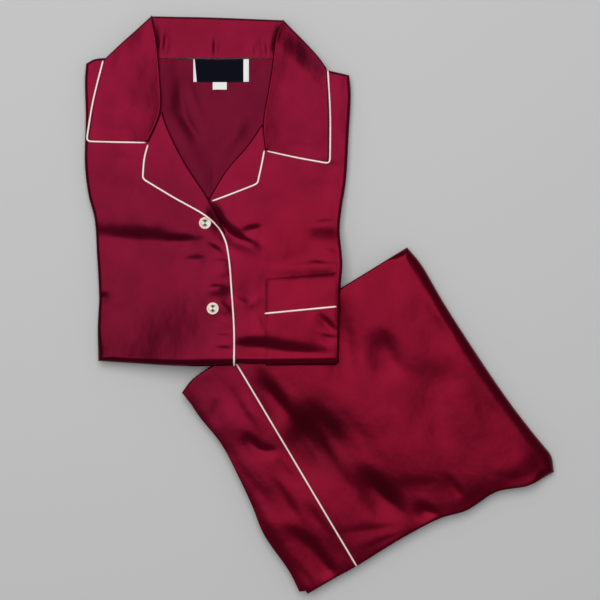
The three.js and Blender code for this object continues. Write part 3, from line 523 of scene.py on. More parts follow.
# %% A mesh gathered from grids of points
class Cloth:
    """Collects grids of points, then welds them into one mesh."""

    def __init__(self):
        self.points, self.faces, self.count = [], [], 0

    def grid(self, rows, flip=False):
        rows = np.asarray(rows)
        high, wide = rows.shape[:2]
        index = np.arange(high * wide).reshape(high, wide) + self.count
        quads = np.stack([index[:-1, :-1], index[:-1, 1:], index[1:, 1:], index[1:, :-1]], axis=-1)
        quads = quads.reshape(-1, 4)
        self.points.append(rows.reshape(-1, 3))
        self.faces.append(quads[:, ::-1] if flip else quads)
        self.count += high * wide

    def welded(self):
        points, faces = np.vstack(self.points), np.vstack(self.faces)
        _, first, where = np.unique(np.round(points, 3), axis=0, return_index=True, return_inverse=True)
        return points[first], where.ravel()[faces]


def vertex_normals(points, faces):
    diagonal = points[faces[:, 2]] - points[faces[:, 0]]
    other = points[faces[:, 3]] - points[faces[:, 1]]
    face_normal = np.cross(diagonal, other)
    normals = np.zeros_like(points)
    for k in range(4):
        np.add.at(normals, faces[:, k], face_normal)
    return normals / np.maximum(np.linalg.norm(normals, axis=1), 1e-12)[:, None]


def thicken(points, faces, thickness):
    """A closed wall: the sheet, the same sheet moved inwards, and a strip round its cut edges."""
    inner = points - vertex_normals(points, faces) * thickness
    edges = np.concatenate([faces[:, [k, (k + 1) % 4]] for k in range(4)])
    edges = edges[edges[:, 0] != edges[:, 1]]
    code = edges[:, 0] * (len(points) + 1) + edges[:, 1]
    back = edges[:, 1] * (len(points) + 1) + edges[:, 0]
    cut = edges[~np.isin(code, back)]
    rim = np.stack([cut[:, 1], cut[:, 0], cut[:, 0] + len(points), cut[:, 1] + len(points)], axis=1)
    return np.vstack([points, inner]), np.vstack([faces, faces[:, ::-1] + len(points), rim])


# Edges that turn by more than this many degrees, such as a cloth's cut edges, are not shaded smooth.
SHARP_OVER = 72


def turned(places, turn):
    """Places turned about the upright axis."""
    c, s = math.cos(turn), math.sin(turn)
    x, y, z = places[:, 0], places[:, 1], places[:, 2]
    return np.stack([x * c - y * s, x * s + y * c, z], axis=1)


def build(name, points, faces, material, turn=0.0):
    """An object at the origin from points in millimetres; faces may have doubled corners."""
    data = bpy.data.meshes.new(name)
    corners = [list(dict.fromkeys(face)) for face in faces.tolist()]
    data.from_pydata(turned(points * MM, turn).tolist(), [], [f for f in corners if len(f) > 2])
    data.validate()
    data.polygons.foreach_set("use_smooth", [True] * len(data.polygons))
    data.set_sharp_from_angle(angle=math.radians(SHARP_OVER))
    data.materials.append(material)
    return add_object(name, data)


def evaluated(piece):
    """A plain mesh of a piece with its modifiers worked out."""
    graph = bpy.context.evaluated_depsgraph_get()
    return bpy.data.meshes.new_from_object(piece.evaluated_get(graph))


# %% A sheet with rolled sides, and a solid between two heights
SWEEP_STEPS = 12
LOWEST = 1.2


def sheet(sides, height, rolls=None, sweep=140.0, wide=1.1):
    """A roll is wide times as wide as it is high, down to where the cloth turns under."""
    rolls = rolls or {}
    edge = frame_sides(sides, rolls)
    inner = {name: f["p"] - f["way"] * f["roll"][:, None] * wide for name, f in edge.items()}
    for name, f in edge.items():
        if name not in rolls and max(f["trim"]) > 0:
            inner[name] = cut_back(f["p"], inner[name], np.array(f["trim"]) * wide)
    cloth = Cloth()

    def raised(flat):
        return np.concatenate([flat, height(flat[..., 0], flat[..., 1])[..., None]], axis=-1)

    cloth.grid(raised(fill(inner["south"], inner["east"], inner["north"], inner["west"])))
    rings = {}
    for name, f in edge.items():
        base = raised(inner[name])
        ahead = raised(inner[name] + f["way"] * 0.5)
        slope = np.clip((base - ahead)[:, 2] / 0.5, 0, 0.3)
        rows = [base]
        for k in range(1, SWEEP_STEPS + 1 if name in rolls else 1):
            turn = math.radians(sweep * k / SWEEP_STEPS)
            ring = base.copy()
            out = wide * math.sin(turn) if turn < math.pi / 2 else wide - 1 + math.sin(turn)
            ring[:, :2] += f["way"] * (f["roll"] * out)[:, None]
            ring[:, 2] -= f["roll"] * (1 - math.cos(turn)) + f["roll"] * out * slope
            ring[:, 2] = np.maximum(ring[:, 2], LOWEST)
            rows.append(ring)
        if len(rows) > 1:
            cloth.grid(rows, flip=name in ("south", "east"))
        way = f["way"].copy()
        if name not in rolls:
            way[0] = way[1] if f["trim"][0] > 0 else way[0]
            way[-1] = way[-2] if f["trim"][1] > 0 else way[-1]
        rings[name] = {"rings": rows, "way": way}
    return cloth, rings


def slab(sides, top, bottom, rows, inset_at):
    """A solid between two heights; each row of its edge has a share of the height and an inset."""
    edge = frame_sides(sides, {name: (lambda share, side: 1.0 + 0 * share) for name in sides})
    rings = []
    for high, depth in rows:
        ring = {}
        for name, f in edge.items():
            share = np.linspace(0, 1, len(f["p"]))
            flat = f["p"] - f["way"] * inset_at(high, depth, name, share, f["p"])[:, None]
            ring[name] = flat
        for a, at_a, b, at_b in CORNERS:
            ring[a][at_a] = ring[b][at_b]
        rings.append((high, ring))
    cloth = Cloth()

    def at(flat, high):
        low, up = bottom(flat[..., 0], flat[..., 1]), top(flat[..., 0], flat[..., 1])
        return np.concatenate([flat, mix(low, up, high)[..., None]], axis=-1)

    def cap(ring, high, flip):
        cloth.grid(at(fill(ring["south"], ring["east"], ring["north"], ring["west"]), high), flip)

    cap(rings[0][1], 1.0, False)
    for name in sides:
        cloth.grid([at(ring[name], high) for high, ring in rings], flip=name in ("south", "east"))
    cap(rings[-1][1], 0.0, True)
    return cloth


# %% [markdown]
# ## Finishes
# Satin is woven so that long smooth threads lie on its face. They mirror light softly and tint it with
# their own colour, which is why a part-metallic shader suits it better than plain plastic. Its weave is
# a faint bump along the threads, and its colour and gloss drift a little, as dyed cloth's do. Its tone
# also changes by place: the lower right is redder, and painted shade darkens the wearer's right front
# and the cuff, and, from a short table, a few spots where the cloth dips or tilts away from the light.


# %% Shader sums
class Value:
    """A socket that can be used in sums."""

    def __init__(self, shading, socket):
        self.shading, self.socket = shading, socket

    def sum(self, operation, *others, **settings):
        values = {k + 1: v for k, v in enumerate(others)}
        return self.shading.node("Math", {"operation": operation, **settings}, {0: self, **values})

    def __add__(self, other):
        return self.sum("ADD", other)

    def __sub__(self, other):
        return self.sum("SUBTRACT", other)

    def __rsub__(self, other):
        return self.shading.node("Math", {"operation": "SUBTRACT"}, {0: other, 1: self})

    def __mul__(self, other):
        return self.sum("MULTIPLY", other)

    def __truediv__(self, other):
        return self.sum("DIVIDE", other)

    def __rtruediv__(self, other):
        return self.shading.node("Math", {"operation": "DIVIDE"}, {0: other, 1: self})

    def __pow__(self, other):
        return self.sum("POWER", other)

    __radd__, __rmul__ = __add__, __mul__

    def abs(self):
        return self.sum("ABSOLUTE")

    def step(self, low, high):
        """0 below low, 1 above high, and a smooth ramp between."""
        values = {"Value": self, "From Min": low, "From Max": high}
        return self.shading.node("MapRange", {"interpolation_type": "SMOOTHSTEP"}, values)


class Shading:
    """One material and its nodes."""

    def __init__(self, name):
        self.material = bpy.data.materials.new(name)
        self.material.use_nodes = True
        self.tree = self.material.node_tree
        self.shader = self.tree.nodes["Principled BSDF"]

    def node(self, kind, settings=None, values=None, out=0):
        made = self.tree.nodes.new("ShaderNode" + kind)
        for name, setting in (settings or {}).items():
            setattr(made, name, setting)
        for key, value in (values or {}).items():
            self.put(made.inputs[key], value)
        return Value(self, made.outputs[out])

    def put(self, socket, value):
        if isinstance(value, Value):
            self.tree.links.new(value.socket, socket)
        else:
            socket.default_value = value

    def finish(self, **values):
        for name, value in values.items():
            self.put(self.shader.inputs[name.replace("_", " ")], value)
        return self.material

    def place(self, scale=(1, 1, 1), turn=0.0, where="UV"):
        """Places on the cloth in metres, stretched by scale."""
        if where == "UV":
            source = self.node("UVMap", {"uv_map": "cloth"})
        else:
            source = self.node("TexCoord", out=3)
        return self.node("Mapping", values={"Vector": source, "Rotation": (0, 0, turn), "Scale": scale})

    def axes(self, place):
        """The x and y of a place, as two values."""
        split = self.node("SeparateXYZ", values={0: place})
        return split, Value(self, split.socket.node.outputs[1])

    def noise(self, place, detail=2.0, rough=0.5):
        values = {"Vector": place, "Scale": 1.0, "Detail": detail, "Roughness": rough}
        return self.node("TexNoise", values=values)

    def blend(self, factor, a, b):
        return self.node("Mix", {"data_type": "RGBA"}, {0: factor, 6: a, 7: b}, out=2)

    def bump(self, height, distance, strength=1.0, under=None):
        values = {"Height": height, "Distance": distance, "Strength": strength}
        if under is not None:
            values["Normal"] = under
        return self.node("Bump", values=values)


# %% Satin
# The first colour is painted shade, blended in where the satin is darkened by place; the second makes the
# lower right redder.
PAINTED_SHADE_COLOUR, WARM = (0.030, 0.0006, 0.0060, 1), (0.112, 0.0006, 0.0070, 1)
# Spots of painted shade: centre and half widths in metres, turn, and how dark they are.
SHADE = ("x", "y", "half_x", "half_y", "turn", "amount")
PAINTED_SHADE_SPOTS = [
    (0.002, -0.156, 0.038, 0.060, TURN, 1.0), (0.080, -0.222, 0.018, 0.034, TURN, 0.6),
    (-0.057, -0.103, 0.012, 0.030, TURN, 0.5), (-0.006, 0.300, 0.018, 0.034, 0.9, 0.5),
]


def satin(name, deep, bright, rough, metallic):
    s = Shading(name)
    threads = s.noise(s.place((900, 90, 1)), rough=0.6)
    crumple = s.noise(s.place((30, 22, 1)), detail=3.0)
    drift = s.noise(s.place((7, 5, 1)))
    tone = crumple * 0.45 + drift * 0.55
    across, up = s.axes(s.place(where="Object"))
    # Painted shade: the wearer's right front and the cuff are made darker, and each spot below adds more.
    painted_shade = (1 - across.step(-0.150, -0.100)) * (1 - up.step(0.13, 0.21)) * 0.30
    warm = across.step(-0.13, -0.02) * (1 - up.step(0.06, 0.20)) * 0.45
    for row in PAINTED_SHADE_SPOTS:
        spot = dict(zip(SHADE, row))
        c, n = math.cos(spot["turn"]), math.sin(spot["turn"])
        along = ((across - spot["x"]) * c + (up - spot["y"]) * n) / spot["half_x"]
        off = ((up - spot["y"]) * c - (across - spot["x"]) * n) / spot["half_y"]
        inside = 1 - (along * along + off * off).step(0.1, 1.5)
        painted_shade = painted_shade + inside * (crumple.step(0.2, 0.7) + 0.4) * spot["amount"]
    soft = s.bump(crumple, 0.0015, 0.6)
    dyed = s.blend(tone.step(0.30, 0.70), deep, bright)
    return s.finish(
        Base_Color=s.blend(warm, s.blend(painted_shade, dyed, PAINTED_SHADE_COLOUR), WARM),
        Roughness=rough + (drift - 0.5) * 0.10 + (threads - 0.5) * 0.06,
        Metallic=metallic,
        Specular_IOR_Level=0.1,
        Normal=s.bump(threads, 0.00012, 0.35, soft),
    )


FACE_DYES = (0.080, 0.0012, 0.0095, 1), (0.117, 0.0020, 0.0150, 1)
INSIDE_DYES = (0.088, 0.0009, 0.0118, 1), (0.108, 0.0013, 0.0158, 1)
SATIN = satin("burgundy_satin", *FACE_DYES, rough=0.30, metallic=0.8)
INSIDE = satin("satin_wrong_side", *INSIDE_DYES, rough=0.45, metallic=0.65)


# %% Piping, thread and tapes
CREAM = (1.0, 0.70, 0.69, 1), (1.0, 0.83, 0.80, 1)
THREAD_DYES = (0.10, 0.003, 0.014, 1), (0.20, 0.006, 0.03, 1)
LABEL_DYES = (0.0012, 0.0018, 0.0070, 1), (0.90, 0.90, 0.90, 1)
TAB_WHITES = (0.84, 0.84, 0.83, 1), (0.92, 0.92, 0.91, 1)
RIBS = (400, 3000, 1)


def piping_cloth():
    s = Shading("cream_piping")
    twill = s.noise(s.place((1500, 700, 1)))
    drift = s.noise(s.place((40, 40, 1)))
    return s.finish(
        Base_Color=s.blend(drift.step(0.3, 0.7), *CREAM),
        Roughness=0.36 + (drift - 0.5) * 0.1,
        Metallic=0.14,
        Normal=s.bump(twill, 0.00015, 0.5),
    )


def thread():
    s = Shading("thread")
    twist = s.noise(s.place((900, 900, 900), where="Object"))
    return s.finish(Base_Color=s.blend(twist.step(0.3, 0.7), *THREAD_DYES), Roughness=0.5 + twist * 0.1)


WHITE_END = {"left": -0.1478, "left_lean": 0.09, "right": -0.0915, "soft": 0.0003}


def woven_label():
    """Navy with a white end on each side; the ends are where the weave changes colour."""
    s = Shading("navy_label")
    x, y = s.axes(s.place(where="Object"))
    left = WHITE_END["left"] + (y - LABEL["y"][0] * MM) * -WHITE_END["left_lean"]
    soft = WHITE_END["soft"]
    white = 1 - (x - left).step(-soft, soft) * (1 - (x - WHITE_END["right"]).step(-soft, soft))
    ribs = s.noise(s.place(RIBS))
    return s.finish(
        Base_Color=s.blend(white, *LABEL_DYES),
        Roughness=0.65 + (ribs - 0.5) * 0.2,
        Specular_IOR_Level=0.05,
        Normal=s.bump(ribs, 0.0002, 0.6),
    )


def white_tape():
    s = Shading("white_tape")
    ribs = s.noise(s.place(RIBS))
    return s.finish(
        Base_Color=s.blend(ribs.step(0.3, 0.7), *TAB_WHITES),
        Roughness=0.6,
        Normal=s.bump(ribs, 0.0002, 0.6),
    )


# %% Shell buttons
PEARL = (0.62, 0.52, 0.38, 1), (0.86, 0.78, 0.62, 1)
PINK_RIM, DARK_STROKE, DARK_HOLE = (0.90, 0.66, 0.60, 1), (0.045, 0.038, 0.018, 1), (0.004, 0.003, 0.003, 1)


def shell():
    """Pale mother-of-pearl with a pinkish rim, dark marks above and below the middle, and near-black holes.

    Places run from 0 in a button's middle to 1 at its rim.
    """
    s = Shading("shell")
    x, y = s.axes(s.place())
    reach = (x * x + y * y) ** 0.5
    cloud = s.noise(s.place((2.2, 2.2, 1)), detail=3.0, rough=0.6)
    upright = y.abs() / (reach + 0.001)
    strokes = upright.step(0.52, 0.74) * (1 - reach.step(0.52, 0.64)) * cloud.step(0.30, 0.44)
    lobe = y.abs() - HOLES["apart"] / 2 / BUTTON["radius"]
    hole = 1 - ((x * x + lobe * lobe) ** 0.5).step(0.11, 0.16)
    edged = s.blend(reach.step(0.70, 0.84), s.blend(cloud.step(0.3, 0.7), *PEARL), PINK_RIM)
    return s.finish(
        Base_Color=s.blend(hole, s.blend(strokes * 0.92, edged, DARK_STROKE), DARK_HOLE),
        Roughness=0.2 + cloud * 0.15,
        Coat_Weight=0.5,
        Normal=s.bump(cloud, 0.00006, 0.4),
    )


PIPING_CLOTH = piping_cloth()
THREAD = thread()
NAVY = woven_label()
TAB = white_tape()
SHELL = shell()

# %% [markdown]
# ## The fronts of the shirt
# Each front is one cut piece. At the side, the shoulder and the bottom the shirt was folded round, so
# the cloth rolls down and under. The front with the buttonholes lies one cloth higher where it laps.

# %% The two fronts
VISIBLE_CLOTH = 0.9


def side_roll(share, side):
    return mix(HEM_ROLL, SIDE_ROLL, smooth(share, 0, 0.12))


def even_roll(radius):
    return lambda share, side: radius + 0 * share


def front_right():
    fine = np.vstack([line(FRONT_EDGE), inset(line(ROLL_LEFT), True, UNDER_ROLL), line(NECK_LEFT)])
    fine[0, 1] -= PLY
    east = even(fine)
    south = line(HEM_LEFT)
    south[:, 1] -= overlap(south[:, 0])
    sides = {"south": south, "east": east, "north": line(SHOULDER_LEFT, count=len(south) - 1)}
    sides["west"] = line(SHIRT_LEFT, count=len(east) - 1)
    rolls = {"west": side_roll, "south": lambda share, side: HEM_ROLL + overlap(side[:, 0])}
    rolls["north"] = even_roll(SIDE_ROLL)
    return sheet(sides, over_top, rolls)


def front_left():
    fine = np.vstack([line(UNDER_EDGE), inset(line(ROLL_RIGHT), False, UNDER_ROLL), line(NECK_RIGHT)])
    west = even(fine)
    south = line(HEM_RIGHT)
    sides = {"south": south, "west": west, "north": line(SHOULDER_RIGHT, count=len(south) - 1)}
    sides["east"] = line(SHIRT_RIGHT, count=len(west) - 1)
    rolls = {"east": side_roll, "south": even_roll(HEM_ROLL), "north": even_roll(SIDE_ROLL)}
    return sheet(sides, front_top, rolls)


def cloth_piece(name, cloth, material, turn=0.0, thickness=VISIBLE_CLOTH):
    """A piece of cloth from an open sheet, standing for the construction model's piece of that name."""
    points, faces = cloth.welded()
    points, faces = thicken(points, faces, thickness)
    return placed(name, points, faces, material, turn)


def finished(piece, name, flat):
    """Gives a piece its places on the cloth, hangs it from the root and hides the construction part it
    stands for.
    """
    layer = piece.data.uv_layers.new(name="cloth")
    corner = np.zeros(len(piece.data.loops), dtype=int)
    piece.data.loops.foreach_get("vertex_index", corner)
    layer.data.foreach_set("uv", flat[corner].ravel())
    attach(piece, "root")
    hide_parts(name)
    return piece


def placed(name, points, faces, material, turn=0.0):
    piece = build(name + "_cloth", points, faces, material, turn)
    return finished(piece, name, points[:, :2] * MM)


over, over_edges = front_right()
under = front_left()[0]
pieces = {
    "front_right": cloth_piece("front_right", over, SATIN),
    "front_left": cloth_piece("front_left", under, SATIN),
}
print("fronts:", {n: len(p.data.polygons) for n, p in pieces.items()})


# %% [markdown]
# ## The hidden layers
# Sleeves, sides and back are folded away below the fronts. They are one rounded solid whose edge is
# shaped like a stack of folded cloths. Each cloth's fold stands out by its own uneven amount.


# %% Hidden layers of the shirt
TOP_INSET = 5.2


def stack_rows(cloths, steps=5):
    """Rows down a stack's edge: for each cloth a round bulge, as (share of height, depth, cloth)."""
    rows = [(1.0, TOP_INSET, -1)]
    for k in range(cloths * steps + 1):
        bulge = abs(math.sin(math.pi * k / steps))
        rows.append((1 - k / (cloths * steps), 2.4 * (1 - bulge), k // steps))
    return rows[:1] + rows[2:]


def wander(share, cloth, seed, amount):
    """How far one cloth's fold wanders in and out along an edge."""
    chance = np.random.default_rng(seed * 31 + cloth + 2)
    waves = sum(np.sin(share * f * math.tau + chance.uniform(0, math.tau)) / f for f in (1.3, 2.4, 4.1, 7.7))
    return amount * (waves * 0.5 + chance.uniform(0.1, 1.0))


def folded_stack(sides, top, bottom, cloths, seed, hollow):
    """A slab with the edge of a stack of cloths; hollow gives each row's least inset on each side."""
    rows = stack_rows(cloths)
    marks = {round(high, 5): cloth for high, depth, cloth in rows}

    def inset_at(high, depth, name, share, side):
        own = wander(share, marks[round(high, 5)], seed + len(name), 1.1)
        fade = smooth(share, 0, 0.04) * (1 - smooth(share, 0.96, 1))
        return np.maximum(depth + np.maximum(own * fade, 0), hollow(high, name, share))

    return slab(sides, top, bottom, [(high, depth) for high, depth, cloth in rows], inset_at)


def shirt_layers():
    core = SHIRT_THICK - LAYERS_DOWN
    centre = SHIRT_THICK - HEM_ROLL
    reach = HEM_ROLL - PLY - GAP

    def hollow(high, name, share):
        under_fold = HEM_ROLL + GAP - math.sqrt(max(0, reach ** 2 - (high * core - centre) ** 2))
        low = {"south": 1.0, "north": 0.0}.get(name, 1 - smooth(share, 0, 0.1))
        return mix(TOP_INSET if high > 0.5 else 0.4, under_fold, low)

    south = [[-266, -67.6], [-215, -71], [-160, -72.4], [-99, -72], [-40, -72.2], [23, -70.6]]
    north = [[-280, 287], [-240, 288], [-127, 286], [-20, 281], [33, 274]]
    sides = outline(south, SHIRT_LEFT[:-1] + north[:1], north, SHIRT_RIGHT[:-1] + north[-1:], COARSE)
    return folded_stack(sides, layers_top, lift, 4, 11, hollow)


points, faces = shirt_layers().welded()
pieces["shirt_layers"] = placed("shirt_layers", points, faces, SATIN)
print("hidden shirt layers:", len(faces), "faces")


# %% [markdown]
# ## Inside of the back, lapels and collar
# In the neck the inside of the back shows, duller than the face. The lapels are the facings, turned
# back along soft rolls. The collar's two leaves are sewn double and stand up a little where they fold.


# %% Inside of the back
def shirt_back():
    south = line([[-146, 112], [-112, 112]], count=60)
    west = line([[-146, 112], [-172, 160], [-198, 235], [-200, 295.9]])
    north = line([[-200, 295.9], [-54, 295.9]], count=60)
    east = line([[-112, 112], [-88, 160], [-58, 235], [-54, 295.9]], count=len(west) - 1)
    return sheet({"south": south, "east": east, "north": north, "west": west}, back_top)


pieces["shirt_back"] = cloth_piece("shirt_back", shirt_back()[0], INSIDE)


# %% Lapels
def lapel(edge, notch, roll, roll_on_west, height):
    """edge runs west to east, notch from its corner up, and roll upwards."""
    south = line(edge)
    corner_side = line(notch, FINE * 0.7, count=48)
    roll_side = line(roll, count=48)
    top_ends = [roll_side[-1], corner_side[-1]] if roll_on_west else [corner_side[-1], roll_side[-1]]
    sides = {
        "south": south,
        "west": roll_side if roll_on_west else corner_side,
        "east": corner_side if roll_on_west else roll_side,
        "north": line(top_ends, count=len(south) - 1),
    }
    return sheet(sides, height, {"west" if roll_on_west else "east": even_roll(LEG_ROLL)}, sweep=90.0)


edge, notch = inset_pair(LAPEL_LEFT_EDGE, LAPEL_LEFT_NOTCH[::-1], True, False)
over_lapel, over_lapel_edges = lapel(edge, notch, ROLL_LEFT, False, over_lapel_top)
edge, notch = inset_pair(LAPEL_RIGHT_EDGE[::-1], LAPEL_RIGHT_NOTCH[::-1], False, True)
under_lapel, under_lapel_edges = lapel(edge[::-1], notch, ROLL_RIGHT, True, under_lapel_top)
pieces["lapel_right"] = cloth_piece("lapel_right", over_lapel, SATIN)
pieces["lapel_left"] = cloth_piece("lapel_left", under_lapel, SATIN)
print("lapels:", len(pieces["lapel_right"].data.polygons), len(pieces["lapel_left"].data.polygons))


# %% The collar
def distance_to(run, x, y):
    least = np.full(np.shape(x), np.inf)
    for (x0, y0), (x1, y1) in zip(run[:-1], run[1:]):
        dx, dy = x1 - x0, y1 - y0
        t = np.clip(((x - x0) * dx + (y - y0) * dy) / (dx * dx + dy * dy), 0, 1)
        least = np.minimum(least, np.hypot(x - x0 - t * dx, y - y0 - t * dy))
    return least


ROUND_TURNS = [math.pi * k / 8 for k in range(9)]
ROUND_ROWS = [(0.5 + 0.5 * math.cos(turn), 3.2 * (1 - math.sin(turn))) for turn in ROUND_TURNS]
# How far a leaf stands up along its roll, and how it swells on its way down from the shoulder fold.
ROLL_REACH = 48
LEAF_RISE = {"left": 0.7, "right": 3.8}
RISE_FULL, RISE_OVER = 28, 120


def leaf_bed(x, y, on_under_front):
    """The height of the front that a leaf lies on."""
    return (front_top if on_under_front else over_top)(x, np.minimum(y, 290))


def leaf(shape, roll_on_west):
    roll, fold = np.array(shape["roll"], float), np.array(shape["fold"], float)
    rise = LEAF_RISE["right" if roll_on_west else "left"]

    def on_shirt(x, y):
        return leaf_bed(x, y, roll_on_west) + GAP + 0.3

    def top(x, y):
        loft = COLLAR_LOFT * np.maximum(0, 1 - distance_to(roll, x, y) / ROLL_REACH) ** 2
        far = distance_to(fold, x, y)
        swollen = rise * smooth(far, 0, RISE_FULL) * (1 - smooth(far, RISE_FULL, RISE_OVER))
        return on_shirt(x, y) + COLLAR_THICK + loft + swollen - creases(x, y, COLLAR_CREASES)

    def bottom(x, y):
        return on_shirt(x, y) - 7 * smooth(y, 314, 332)

    cut, outer = inset_pair(shape["end"], shape["side"], not roll_on_west, roll_on_west)
    west_to_east = -1 if roll_on_west else 1
    south = line(cut[::west_to_east])
    north = line(shape["fold"][::west_to_east], count=len(south) - 1)
    outer_up = line(outer)
    roll_up = line(shape["roll"][::-1], count=len(outer_up) - 1)
    sides = {"south": south, "north": north}
    sides["west"] = roll_up if roll_on_west else outer_up
    sides["east"] = outer_up if roll_on_west else roll_up
    share = {"south": 0.0, "north": 0.5, "west": 0.15, "east": 0.15}
    share["west" if roll_on_west else "east"] = 0.5

    def inset_at(high, depth, name, along, side):
        return depth * share[name] + 0 * along

    return slab(sides, top, bottom, ROUND_ROWS, inset_at)


def band_top(x, y):
    return front_top(x, 290 + 0 * y) - 2.2 + 0.9 * smooth(y, 320, 338) - creases(x, y, COLLAR_CREASES)


def band():
    def bottom(x, y):
        return band_top(x, y) - mix(2.2, 7.5, smooth(y, 297, 330))

    def inset_at(high, depth, name, along, side):
        return depth * (name == "north") + 0 * along

    return slab(strip(BAND["seam"], BAND["top"]), band_top, bottom, ROUND_ROWS, inset_at)


parts = [leaf(LEAF_LEFT, False).welded(), leaf(LEAF_RIGHT, True).welded(), band().welded()]
starts = np.cumsum([0] + [len(p) for p, f in parts[:-1]])
points = np.vstack([p for p, f in parts])
faces = np.vstack([f + start for (p, f), start in zip(parts, starts)])
pieces["collar"] = placed("collar", points, faces, SATIN)
print("collar:", len(faces), "faces")

# %% [markdown]
# ## The pocket
# The breast pocket is a plain patch with a deep band at its top, joined by piping. Its lower end goes
# round the bottom fold with the front.


# %% The pocket
PATCH_TURNED = 3.6
PATCH_HIGH, PATCH_SINK = 0.62, 0.42
PATCH_CLOTH = 0.15


def patch_top(x, y):
    """The patch lies flat on the front and sinks a little where its edges are sewn down."""
    high = np.interp(x, [p[0] for p in POCKET["top"]], [p[1] for p in POCKET["top"]])
    near = np.minimum(np.minimum(x - POCKET["top"][0][0], POCKET["top"][1][0] - x), high - y)
    return front_top(x, y) + PATCH_HIGH - PATCH_SINK * (1 - smooth(near, 0, PATCH_TURNED))


def patch(low, high, rolled):
    rolls = {"south": even_roll(HEM_ROLL + PLY)} if rolled else {}
    return sheet(strip(low, high), patch_top, rolls, sweep=110.0)


seam = np.array(POCKET["seam"], float)
pocket, pocket_edges = patch(POCKET["low"], inset(seam, False, SEAM), True)
pocket_band, pocket_band_edges = patch(inset(seam, True, SEAM), POCKET["top"], False)
pieces["pocket"] = cloth_piece("pocket", pocket, SATIN, thickness=PATCH_CLOTH)
pieces["pocket_band"] = cloth_piece("pocket_band", pocket_band, SATIN, thickness=PATCH_CLOTH)
print("pocket:", len(pieces["pocket"].data.polygons) + len(pieces["pocket_band"].data.polygons), "faces")

# %% [markdown]
# ## The trousers
# Both legs lie one on the other, folded in three, so the fold at the right is round and the hems lie at
# the left. The deep cuff is a piece of its own, joined by piping. Everything is made in the trousers'
# own axes and turned as a whole.


# %% Legs, cuffs and their hidden layers
def leg_roll(share, side):
    return mix(LEG_ROLL, KNEE_ROLL, smooth(share, 0.88, 1))


def cuff_seam(x):
    """The two ends of the seam between leg and cuff, moved to x."""
    return [[x, -293], [x, 3.4]]


def leg_panel():
    low, high = cuff_seam(CUFF_SEAM_X + SEAM)
    sides = outline([low] + LEG_LOW[3:], [low, high], [high] + LEG_TOP[3:], LEG_FOLD)
    rolls = {"east": even_roll(KNEE_ROLL), "south": leg_roll, "north": leg_roll}
    return sheet(sides, leg_top, rolls, sweep=150.0, wide=1.45)


def cuff_top():
    low, high = cuff_seam(CUFF_SEAM_X - SEAM)
    sides = outline(LEG_LOW[:2] + [low], HEM_EDGE, LEG_TOP[:3] + [high], [low, high])
    rolls = {"south": even_roll(LEG_ROLL), "north": even_roll(LEG_ROLL)}
    return sheet(sides, leg_top, rolls, sweep=150.0)


def cuff_under():
    west = line(UNDER_HEM)
    sides = {"west": west, "east": line([[-186, -286.5], [-184, -9]], count=len(west) - 1)}
    sides["south"] = line([[-197, -284], [-192, -286.5], [-186, -286.5]], count=6)
    sides["north"] = line([[-194, -11], [-190, -9], [-184, -9]], count=6)
    return sheet(sides, lambda x, y: leg_top(x, y) - PLY - 0.05)


def trouser_layers():
    core = TROUSER_THICK - PLY - GAP
    centre = TROUSER_THICK - KNEE_ROLL
    reach = KNEE_ROLL - PLY - 6 * GAP

    def hollow(high, name, share):
        under_fold = KNEE_ROLL - math.sqrt(max(0, reach ** 2 - (high * core - centre) ** 2))
        least = 5.0 if high > 0.8 else 0.6
        near = {"east": 1.0, "west": 0.0}.get(name, smooth(share, 0.78, 0.92))
        return mix(least, np.maximum(under_fold, least), near)

    west = [[x + 1.5, y] for x, y in HEM_EDGE]
    sides = outline(LEG_LOW, west, LEG_TOP, LEG_FOLD, COARSE)
    return folded_stack(sides, lambda x, y: leg_top(x, y) - 2 * PLY, lambda x, y: 0 * x, 6, 23, hollow)


leg, leg_edges = leg_panel()
cuff, cuff_edges = cuff_top()
pieces["leg_panel"] = cloth_piece("leg_panel", leg, SATIN, TURN)
pieces["cuff_top"] = cloth_piece("cuff_top", cuff, SATIN, TURN)
pieces["cuff_under"] = cloth_piece("cuff_under", cuff_under()[0], SATIN, TURN)
points, faces = trouser_layers().welded()
pieces["trouser_layers"] = placed("trouser_layers", points, faces, SATIN, TURN)
print("trousers:", {n: len(pieces[n].data.polygons) for n in ("leg_panel", "cuff_top", "trouser_layers")})

# %% [markdown]
# ## Piping
# The piping is a strip of pinkish cream satin folded round a cord and caught in the seam. It is a
# smooth round line beside the edge, a little uneven in height as a sewn cord is.


# %% Piping along the edges
def tube(centres, radius=PIPING, around=14, seed=5):
    """A round cord along 3-D points, with rounded ends."""
    centres = even(soften(centres, 3), 1.6)
    run = np.gradient(centres, axis=0)
    run /= np.linalg.norm(run, axis=1)[:, None]
    up = np.array([0, 0, 1.0]) - run * run[:, 2:]
    up /= np.linalg.norm(up, axis=1)[:, None]
    side = np.cross(up, run)
    far = np.arange(len(centres))
    chance = np.random.default_rng(seed)
    uneven = sum(np.sin(far * f + chance.uniform(0, 6)) for f in (0.21, 0.37, 0.83)) * 0.018
    size = radius * (1 + uneven)
    size[[0, -1]] = 0.0
    size[[1, -2]] *= 0.75
    turn = np.linspace(0, math.tau, around + 1) % math.tau
    round_way = side[:, None] * np.cos(turn)[None, :, None] + up[:, None] * np.sin(turn)[None, :, None]
    cord = Cloth()
    cord.grid(centres[:, None] + round_way * size[:, None, None])
    return cord


def soften(points, times):
    points = points.copy()
    for _ in range(times):
        points[1:-1] = (points[:-2] + 2 * points[1:-1] + points[2:]) / 4
    return points


def beside(edge):
    """Points beside a sheet's edge, out by the piping's seam."""
    centres = edge["rings"][0].copy()
    centres[:, :2] += edge["way"] * SEAM
    return centres


